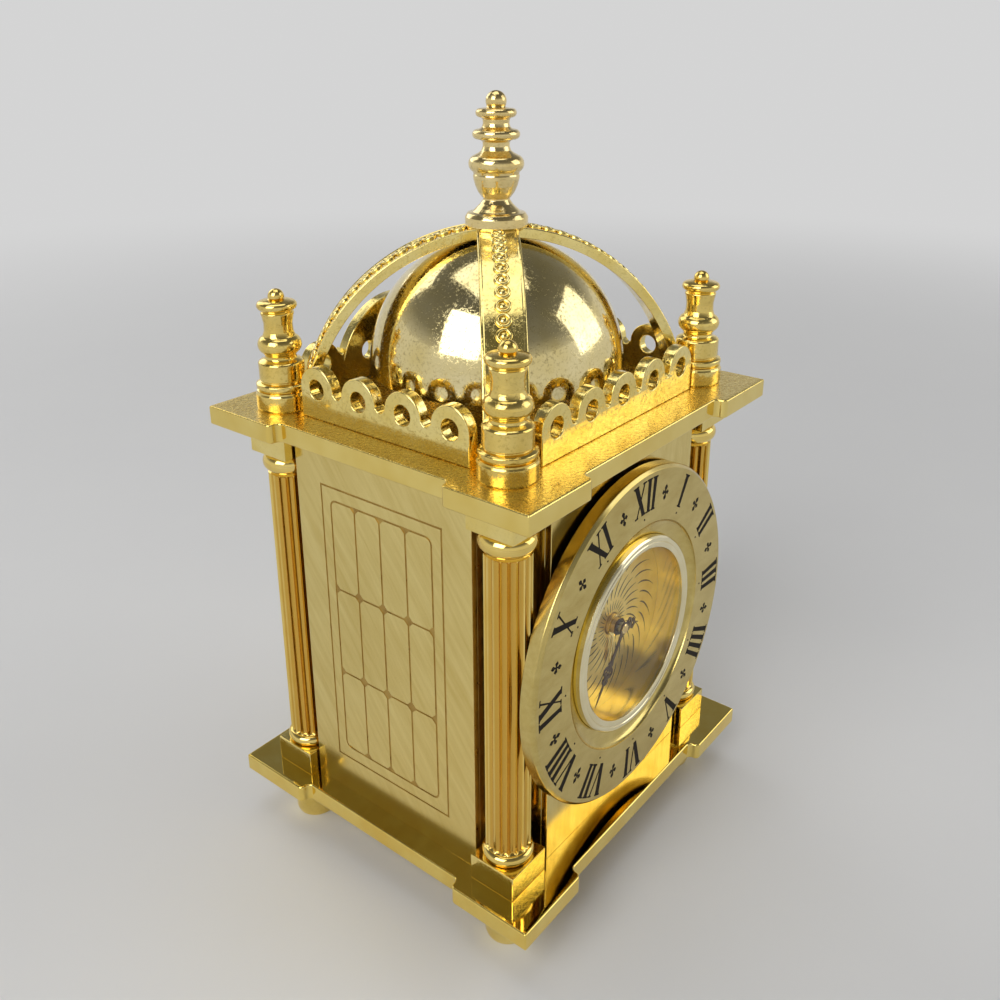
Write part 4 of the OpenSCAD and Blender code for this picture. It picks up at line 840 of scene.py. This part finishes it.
def crestOutline():
    # a lobe at either end and one large arch between them
    reach = 2 * gallery["frontPitch"]
    r, rise, band, inner = gallery["lobeR"], gallery["holeRise"], gallery["bandHigh"], crest["half"]
    half = reach + r
    big = inner * 1.06
    side = degrees(acos(inner / big))
    lobeEnd = reach - r * 0.866 - 0.1
    points = [(-half, gallery["foot"]), (half, gallery["foot"]), (half, rise)]
    points += arc((reach, rise), r, 0, 150, 18)
    points += softened([(lobeEnd, band + 1.6), (inner + 0.25, band, 0.4), (inner, band + 1.5)])
    points += arc((0, crest["high"] - big), big, side, 180 - side, 48)
    points += softened([(-inner, band + 1.5), (-inner - 0.25, band, 0.4), (-lobeEnd, band + 1.6)])
    return points + arc((-reach, rise), r, 30, 180, 18)


crestSpots = [-2 * gallery["frontPitch"], -crest["holeX"], 0, crest["holeX"], 2 * gallery["frontPitch"]]
makeGallery("galleryRearCrest", "gallery_rear", 180, gallery["frontY"],
            [crestOutline()] + holesAt(crestSpots))
print("galleries made")


# dial

dial = {"centre": 48.15, "ringFace": -31.75, "case": -28.25, "ringR": 31.0, "backR": 22.05, "relief": 0.7,
        "flatR": 21.0, "bezelR": 18.0, "sightR": 15.9, "cove": 1.5, "glass": (-31.35, -30.75),
        "disc": -26.15, "discBack": -25.65, "discHole": 2.1, "tubeR": 17.2}
ringDepth = abs(dial["ringFace"] - dial["case"])


def dialPlace(y):
    return facingFront(0, y, dial["centre"])


def makeChapterRing():
    # profile heights run from the case outward to the ring's face
    r, flat, relief, high = dial["ringR"], dial["flatR"], dial["relief"], ringDepth
    inner = dial["bezelR"] + 0.05
    profile = [(inner, 0), (dial["backR"], 0), (dial["backR"], relief)]
    profile += [(r - 0.15, relief), (r, relief + 0.15)]
    profile += softened([(r, high - 0.75), (r - 0.12, high - 0.55, 0.2), (r - 0.62, high - 0.08, 0.2),
                         (r - 0.9, high)])
    profile += [(flat + 0.12, high), (flat + 0.02, high - 0.04)]
    for turn in range(8, 91, 8):
        a = radians(turn)
        profile.append((inner + (flat - inner) * cos(a), high - dial["cove"] * sin(a)))
    profile += [(inner, high - dial["cove"] - 0.05), (inner, 0)]
    turnedPiece("chapterRingTurned", "chapter_ring", profile, [dialPlace(dial["case"])], 192, ringBrass)


def makeBezel():
    # a lip with a fine groove around the glass, and a tube that reaches back to the disc
    high, sight, rim = ringDepth, dial["sightR"], dial["bezelR"]
    tube, deep = dial["tubeR"], dial["case"] - dial["discBack"]
    seat, wall = sight + 0.4, 0.52
    profile = softened([(rim, 0), (rim, high - 0.3, 0.1), (rim - 0.35, high, 0.15), (sight + 1.2, high, 0.05),
                        (sight + 1.06, high - 0.16, 0.05), (sight + 0.92, high, 0.05),
                        (sight + 0.35, high, 0.12), (sight, high - 0.18, 0.08), (sight, high - 0.4),
                        (seat, high - 0.4), (seat, deep + wall), (tube - wall, deep + wall),
                        (tube - wall, deep), (tube, deep), (tube, 0), (rim, 0)])
    turnedPiece("bezelRingTurned", "bezel_ring", profile, [dialPlace(dial["case"])], 160, paleBrass)


def makeGlass():
    low, high = dial["glass"]
    thick = high - low
    r = dial["sightR"] + 0.35
    profile = softened([(0, 0), (r, 0, 0.05), (r, thick, 0.05), (0, thick)])
    turnedPiece("dialGlassFlat", "dial_glass", profile, [dialPlace(high)], 128, dialGlassFinish)


def makeDialDisc():
    hole, edge = dial["discHole"], dial["tubeR"] - 0.57
    thick = dial["discBack"] - dial["disc"]
    profile = softened([(hole, 0), (edge, 0), (edge, thick, 0.05), (hole, thick, 0.05), (hole, 0)])
    turnedPiece("dialDiscSatin", "dial_disc", profile, [dialPlace(dial["discBack"])], 160, discBrass)


# rings of curved strokes: inner and outer radius, how far each turns on its way out, half width, count
swirl = {"rings": ((2.6, 4.4, 5, 0.06, 28), (4.9, 9.3, 14, 0.12, 28), (9.6, 14.6, 20, 0.17, 28)),
         "lift": 0.02, "steps": 10}


def strokeOutline(start, low, high, bend, width):
    # a thin sliver that leans clockwise on its way out, widest past its middle
    sides = ([], [])
    for k in range(swirl["steps"] + 1):
        along = k / swirl["steps"]
        radius = low + (high - low) * along
        angle = start - radians(bend) * along ** 1.3
        half = width * sin(pi * along ** 0.75) + 0.015
        for side, sign in zip(sides, (1, -1)):
            turn = angle + sign * half / radius
            side.append((radius * cos(turn), radius * sin(turn)))
    return sides[1] + sides[0][::-1]


def makeDialStrokes():
    mesh = bmesh.new()
    for number, (low, high, bend, width, count) in enumerate(swirl["rings"]):
        for i in range(count):
            start = fullTurn * (i + 0.5 * (number % 2)) / count
            outline = strokeOutline(start, low, high, bend, width)
            addPrism(mesh, outline, swirl["lift"], dialPlace(dial["disc"]))
    cutToTriangles(mesh)
    addPiece("dialSwirlStrokes", mesh, None, strokeBrown)


makeChapterRing()
makeBezel()
makeGlass()
makeDialDisc()
makeDialStrokes()

letters = {"height": 6.1, "serif": 0.3, "foot": 23.5, "lift": 0.03, "liftStep": 0.003, "bendR": 26.5,
           "thick": 0.53, "stem": 0.45, "thin": 0.16, "words": "I II III IIII V VI VII VIII IX X XI XII"}
marks = {"r": 26.0, "long": 1.2, "short": 0.92, "dotAt": 22.4, "dotR": 0.18,
         "half": [(0.12, 0), (0.14, 0.35), (0.42, 0.72), (0.3, 1.0), (0.1, 1.02)], "tip": (0, 1.22)}
hourStep = radians(30)


def slanted(bottomX, topX, half):
    return [(bottomX - half, 0), (bottomX + half, 0), (topX + half, letters["height"]),
            (topX - half, letters["height"])]


def serif(left, right, atTop):
    low = letters["height"] - letters["serif"] if atTop else 0
    return [(left, low), (right, low), (right, low + letters["serif"]), (left, low + letters["serif"])]


def letterShapes(letter):
    # (advance width, strokes); the letter stands on y = 0 and every stroke is a plain quad
    if letter == "I":
        return 1.68, [slanted(0, 0, letters["stem"]), serif(-0.73, 0.73, False), serif(-0.73, 0.73, True)]
    if letter == "V":
        return 3.9, [slanted(0.05, -1.15, letters["thick"]), slanted(0.2, 1.3, letters["thin"]),
                     serif(-1.88, -0.42, True), serif(0.8, 1.84, True)]
    return 3.95, [slanted(1.15, -1.15, letters["thick"]), slanted(-1.28, 1.28, letters["thin"]),
                  serif(0.42, 1.9, False), serif(-1.9, -0.42, True), serif(-1.86, -0.76, False),
                  serif(0.76, 1.86, True)]


def makeNumerals():
    mesh = bmesh.new()
    face, lift, liftStep = dialPlace(dial["ringFace"]), letters["lift"], letters["liftStep"]
    for hour, word in enumerate(letters["words"].split(), 1):
        widths = [letterShapes(letter)[0] for letter in word]
        x = -sum(widths) / 2
        place = face @ spun(-hour * hourStep)
        for letter, width in zip(word, widths):
            middle = x + width / 2
            x += width
            for number, outline in enumerate(letterShapes(letter)[1]):
                # every point keeps its place on the arc, so wide numerals fan out
                bent = []
                for px, py in outline:
                    radius = letters["foot"] + py
                    angle = pi / 2 - (middle + px) / letters["bendR"]
                    bent.append((radius * cos(angle), radius * sin(angle)))
                addPrism(mesh, bent, lift - liftStep * number, place)
    # four petals between every two hours, and a dot at every hour
    petalShape = mirrored(marks["half"] + [marks["tip"]])
    petalShape = petalShape[-1:] + petalShape[:-1]
    for hour in range(12):
        place = face @ spun(-(hour + 0.5) * hourStep) @ upright(0, marks["r"])
        for petal in range(4):
            reach = marks["short"] if petal % 2 else marks["long"]
            outline = [(x, y * reach) for x, y in petalShape]
            addPrism(mesh, outline, lift - liftStep * petal, place @ spun(petal * pi / 2))
        place = face @ spun(-hour * hourStep) @ upright(0, marks["dotAt"])
        addPrism(mesh, circle(0, 0, marks["dotR"], 12), lift, place)
    cutToTriangles(mesh)
    addPiece("chapterNumerals", mesh, None, blackEnamel)


makeNumerals()
print("dial made")


# hands

def handPlace(y, angle):
    return dialPlace(y) @ spun(-radians(angle))


def makeHand(name, body, node, y, angle, loops, finish):
    mesh = bmesh.new()
    addSlab(mesh, loops, 0.2, 0.04, handPlace(y + 0.1, angle), 1)
    addPiece(name, mesh, node, finish, body)


# degrees after twelve o'clock, and the y of each hand's front face
hands = {"minuteAngle": 216, "hourAngle": 108, "alarmAngle": 188,
         "minuteY": -28.85, "hourY": -27.85, "alarmY": -26.85}
minuteHalf = softened([(0, 14.7), (0.12, 13.4), (0.3, 11.6, 0.3), (0.22, 10.7, 0.1), (0.85, 10.3, 0.2),
                       (1.0, 9.7, 0.2), (0.6, 9.3, 0.1), (1.35, 8.9, 0.3), (1.7, 8.1, 0.3), (1.3, 7.4, 0.3),
                       (0.6, 7.1, 0.1), (0.75, 6.5, 0.2), (0.42, 6.0, 0.2), (0.38, 3.0), (0.5, 1.35),
                       (0.9, 0.95, 0.2), (1.15, 0.4, 0.3), (1.15, -0.4, 0.3), (0.8, -1.0, 0.3), (0, -1.2)])
minuteHoles = [softened([(0.0, 8.9, 0.1), (-0.3, 8.2, 0.1), (0.0, 7.5, 0.1), (0.3, 8.2, 0.1)], True),
               circle(0.88, 8.15, 0.3, 12), circle(-0.88, 8.15, 0.3, 12), circle(0, 10.0, 0.26, 12),
               circle(0, 0, 0.62, 24)]
makeHand("minuteHandOrnate", "minute_hand", "minute_hand", hands["minuteY"], hands["minuteAngle"],
         [mirrored(minuteHalf)] + minuteHoles, handBrown)
hourHalf = softened([(0, 7.0), (0.16, 6.4), (0.3, 5.7, 0.1), (0.95, 5.35, 0.2), (1.1, 4.7, 0.2),
                     (0.6, 4.3, 0.1), (1.25, 3.9, 0.2), (1.3, 3.2, 0.2), (0.55, 2.8, 0.1), (0.42, 2.2),
                     (0.9, 1.55, 0.2), (1.55, 0.7, 0.4), (1.55, -0.7, 0.4), (0.9, -1.5, 0.4), (0, -1.65)])
hourHoles = [circle(0, 4.85, 0.32, 12), circle(0.62, 3.55, 0.26, 12), circle(-0.62, 3.55, 0.26, 12),
             circle(0, 0, 1.06, 24)]
makeHand("hourHandOrnate", "hour_hand", "hour_hand", hands["hourY"], hands["hourAngle"],
         [mirrored(hourHalf)] + hourHoles, handBrown)
alarmHalf = softened([(0, 8.0), (0.3, 7.1), (0.62, 6.1, 0.2), (0.3, 5.2, 0.2), (0.24, 2.6), (0.5, 2.1),
                      (1.4, 1.5, 0.3), (1.9, 0.6, 0.4), (1.9, -0.6, 0.4), (1.2, -1.6, 0.4), (0, -2.0)])
makeHand("alarmHandLance", "alarm_hand", "alarm_hand", hands["alarmY"], hands["alarmAngle"],
         [mirrored(alarmHalf), circle(0, 0, 1.5, 24)], goldDeep)
nutProfile = softened([(0, 0), (0.95, 0), (0.95, 0.18, 0.1), (0.75, 0.34, 0.1), (0, 0.35)])
turnedPiece("handNutDomed", "hand_nut", nutProfile, [dialPlace(hands["minuteY"])], 32, goldPale,
            body="minute_hand")
print("hands made")


# winding keys and screws on the rear cover

key = {"sleeveR": 2.1, "low": 29.08, "high": 34.8, "squareHole": 1.15, "wingR": 2.3, "reach": 4.7,
       "thick": 1.4, "web": 1.25, "wingY": 32.5, "wingHole": 0.95}


def makeKey(name, body, node, x, z):
    # a turned sleeve with two flat pierced wings
    mesh = bmesh.new()
    r, long = key["sleeveR"], key["high"] - key["low"]
    profile = softened([(0, long - 1.3), (key["squareHole"], long - 1.3), (key["squareHole"], long, 0.1),
                        (r - 0.35, long, 0.15), (r, long - 0.45, 0.15), (r, 2.0, 0.15), (r - 0.3, 1.7, 0.1),
                        (r - 0.3, 1.3, 0.1), (r, 1.0, 0.15), (r, 0.12, 0.1), (r - 0.2, 0), (0, 0)])
    addTurned(mesh, profile, facingBack(x, key["low"], z), 48)
    lean = degrees(asin(key["web"] / key["wingR"]))
    outline = (arc((key["reach"], 0), key["wingR"], lean - 180, 180 - lean, 28)
               + arc((-key["reach"], 0), key["wingR"], lean, 360 - lean, 28))
    holes = [circle(sign * key["reach"], 0, key["wingHole"], 24)[::-1] for sign in (-1, 1)]
    addSlab(mesh, [outline] + holes, key["thick"], 0.28, upright(x, key["wingY"], z), 4)
    addPiece(name, mesh, node, goldBright, body=body)


makeKey("timeKeyWinged", "time_winding", "time_winding_key", -3.83, 33.85)
makeKey("alarmKeyWinged", "alarm_winding", "alarm_winding_key", 8.0, 63.75)

screw = {"headR": 1.5, "low": 28.25, "high": 29.05, "slot": 0.42, "slotDepth": 0.35, "shaftR": 0.8,
         "x": 16.5, "z": (22.95, 73.35), "rearEnd": 21.55, "frontEnd": -20.4, "frontFace": -28.2,
         "turn": 0.4, "turnStep": 1.3}


def addScrewHead(mesh, x, z, turn):
    # a turned head, its top in two halves either side of the slot
    r, deep = screw["headR"], screw["high"] - screw["low"] - screw["slotDepth"]
    profile = [(0, 0), (r - 0.05, 0), (r, 0.05), (r, deep), (0, deep)]
    addTurned(mesh, profile, facingBack(x, screw["low"], z), 40)
    lean = degrees(asin(screw["slot"] / 2 / r))
    half = arc((0, 0), r, lean, 180 - lean, 20)
    middle = screw["low"] + deep + screw["slotDepth"] / 2
    for side in (0, pi):
        place = facingBack(x, middle, z) @ spun(turn + side)
        addSlab(mesh, [half], screw["slotDepth"] + 0.02, 0.08, place)


def addScrewRod(mesh, x, z, start, end, headR=0):
    # a plain rod along y, with a flat sunk head at its start if headR is given
    long, r = end - start, screw["shaftR"]
    head = [(0, 0), (headR, 0), (headR, 0.75), (r, 0.75)] if headR else [(0, 0), (r, 0)]
    addTurned(mesh, head + [(r, long - 0.2), (r - 0.2, long), (0, long)], facingBack(x, start, z), 32)


mesh = bmesh.new()
screwSpots = [(x, z) for x in (-screw["x"], screw["x"]) for z in screw["z"]]
for number, (x, z) in enumerate(screwSpots):
    addScrewHead(mesh, x, z, screw["turn"] + screw["turnStep"] * number)
    addScrewRod(mesh, x, z, screw["rearEnd"], screw["low"] + 0.2)
    addScrewRod(mesh, x, z, screw["frontFace"], screw["frontEnd"], screw["headR"])
addPiece("caseScrewsSlotted", mesh, "case_screws", turnedSteel)
print("rear pieces made")


# finishes for the pieces that keep the CAD's own shape

plainFinishes = {"brass_polished": goldBright, "brass_satin": panelBrass, "bell_metal": bellPlate,
                 "movement_brass": movementBrass, "steel": turnedSteel, "black_enamel": blackEnamel,
                 "dial_glass": dialGlassFinish}
slotOf = {part["node"]: part["material_slot"] for part in frame["record"]["subparts"]}
knobNodes, knobEdge = ("hand_setting_arbor", "alarm_setting_arbor", "alarm_stop"), 0.16
for node, piece in frame["nodes"].items():
    finish = goldCast if node in knobNodes else plainFinishes[slotOf[node]]
    for slot in piece.material_slots:
        slot.material = finish.material
    if node in knobNodes:
        piece.modifiers.new("joined", "WELD").merge_threshold = 1e-6
        rounding = piece.modifiers.new("softEdges", "BEVEL")
        rounding.width = knobEdge * mm
        rounding.segments = 2
        rounding.angle_limit = radians(50)
        rounding.harden_normals = True
print("carried-over pieces finished")


# floor, light and camera

# the floor rises into a bowl; its two distances are in metres, its profile in millimetres
stage = {"tone": 0.72, "far": 0.66, "shadowEnds": 0.22, "farBegins": 0.8,
         "bowl": [(0, 0), (400, 0), (1200, 0), (2600, 0), (3600, 60), (4400, 300), (5000, 900), (5200, 1800)]}


def makeStage():
    # near the clock the floor is lit by the lamps; further out it turns into an evenly pale backdrop
    floor = Finish("studioFloor", Roughness=0.8)
    tone, far = stage["tone"], stage["far"]
    pale = (tone * 1.04, tone * 1.04, tone * 1.03)
    floor.surface(Base_Color=floor.blend(floor.noise(14, 3), (tone, tone, tone), pale))
    out = floor.arrow("LENGTH", floor.place(), output="Value")
    away = floor.node("ShaderNodeMapRange", {"interpolation_type": "SMOOTHSTEP"},
                      {"Value": out, "From Min": stage["shadowEnds"], "From Max": stage["farBegins"]})
    camera, glossy, through = [floor.node("ShaderNodeLightPath", {}, {}, "Is %s Ray" % kind)
                               for kind in ("Camera", "Glossy", "Transmission")]
    seen = floor.either(floor.either(camera, glossy), through)
    glow = floor.node("ShaderNodeEmission", {}, {"Color": (far, far, far)})
    lit = Flow(floor, floor.shader.outputs[0])
    mixed = floor.node("ShaderNodeMixShader", {}, {"Fac": away * seen, 1: lit, 2: glow})
    floor.tree.links.new(mixed.socket, floor.tree.nodes["Material Output"].inputs["Surface"])
    mesh = bmesh.new()
    addTurned(mesh, stage["bowl"], Matrix.Identity(4))
    piece = asObject("studioFloor", mesh, floor.material)


# brightness of the studio's sky by height, from the horizon to straight up
skyTones = ((0.0, 0.72), (0.32, 0.48), (0.5, 0.2), (1.0, 0.1))


def makeWorld():
    world = bpy.data.worlds.new("studio")
    scene.world = world
    world.use_nodes = True
    nodes, links = world.node_tree.nodes, world.node_tree.links
    coord = nodes.new("ShaderNodeTexCoord")
    split = nodes.new("ShaderNodeSeparateXYZ")
    shade = nodes.new("ShaderNodeValToRGB")
    setStops(shade.color_ramp, skyTones, 1.01)
    links.new(coord.outputs["Generated"], split.inputs[0])
    links.new(split.outputs["Z"], shade.inputs["Fac"])
    links.new(shade.outputs["Color"], nodes["Background"].inputs["Color"])


lamps = {"keySoft": ((-0.74, -0.04, 0.62), 0.6, 4.4), "fillSoft": ((0.55, -0.55, 0.45), 0.55, 1.5),
         "overheadSoft": ((0.05, 0.1, 0.95), 0.65, 1.9), "backSoft": ((0.1, 0.75, 0.5), 0.5, 1.1)}


def makeLamps():
    aim = Vector((0, 0, 0.06))
    for name, (spot, size, watts) in lamps.items():
        light = bpy.data.lights.new(name, "AREA")
        light.size = size
        light.energy = watts
        lamp = linked(name, light)
        lamp.location = spot
        lamp.rotation_euler = (aim - Vector(spot)).to_track_quat("-Z", "Y").to_euler()


# as solved from the photograph; the lens is in widths of the picture
view = {"lens": 0.99188, "shift": (-0.00812, -0.08836), "spot": (-0.13248, -0.10652, 0.14582),
        "turn": (69.645, 0.0, -51.864), "sensor": 36}


def makeCamera():
    data = bpy.data.cameras.new("camera")
    data.sensor_width = view["sensor"]
    data.lens = view["lens"] * view["sensor"]
    data.shift_x, data.shift_y = view["shift"]
    data.clip_start, data.clip_end = 0.01, 50
    camera = scene.camera = linked("camera", data)
    camera.location = view["spot"]
    camera.rotation_euler = [radians(a) for a in view["turn"]]


makeStage()
makeWorld()
makeLamps()
makeCamera()
scene.view_settings.view_transform = "Standard"
print("stage, light and camera made")
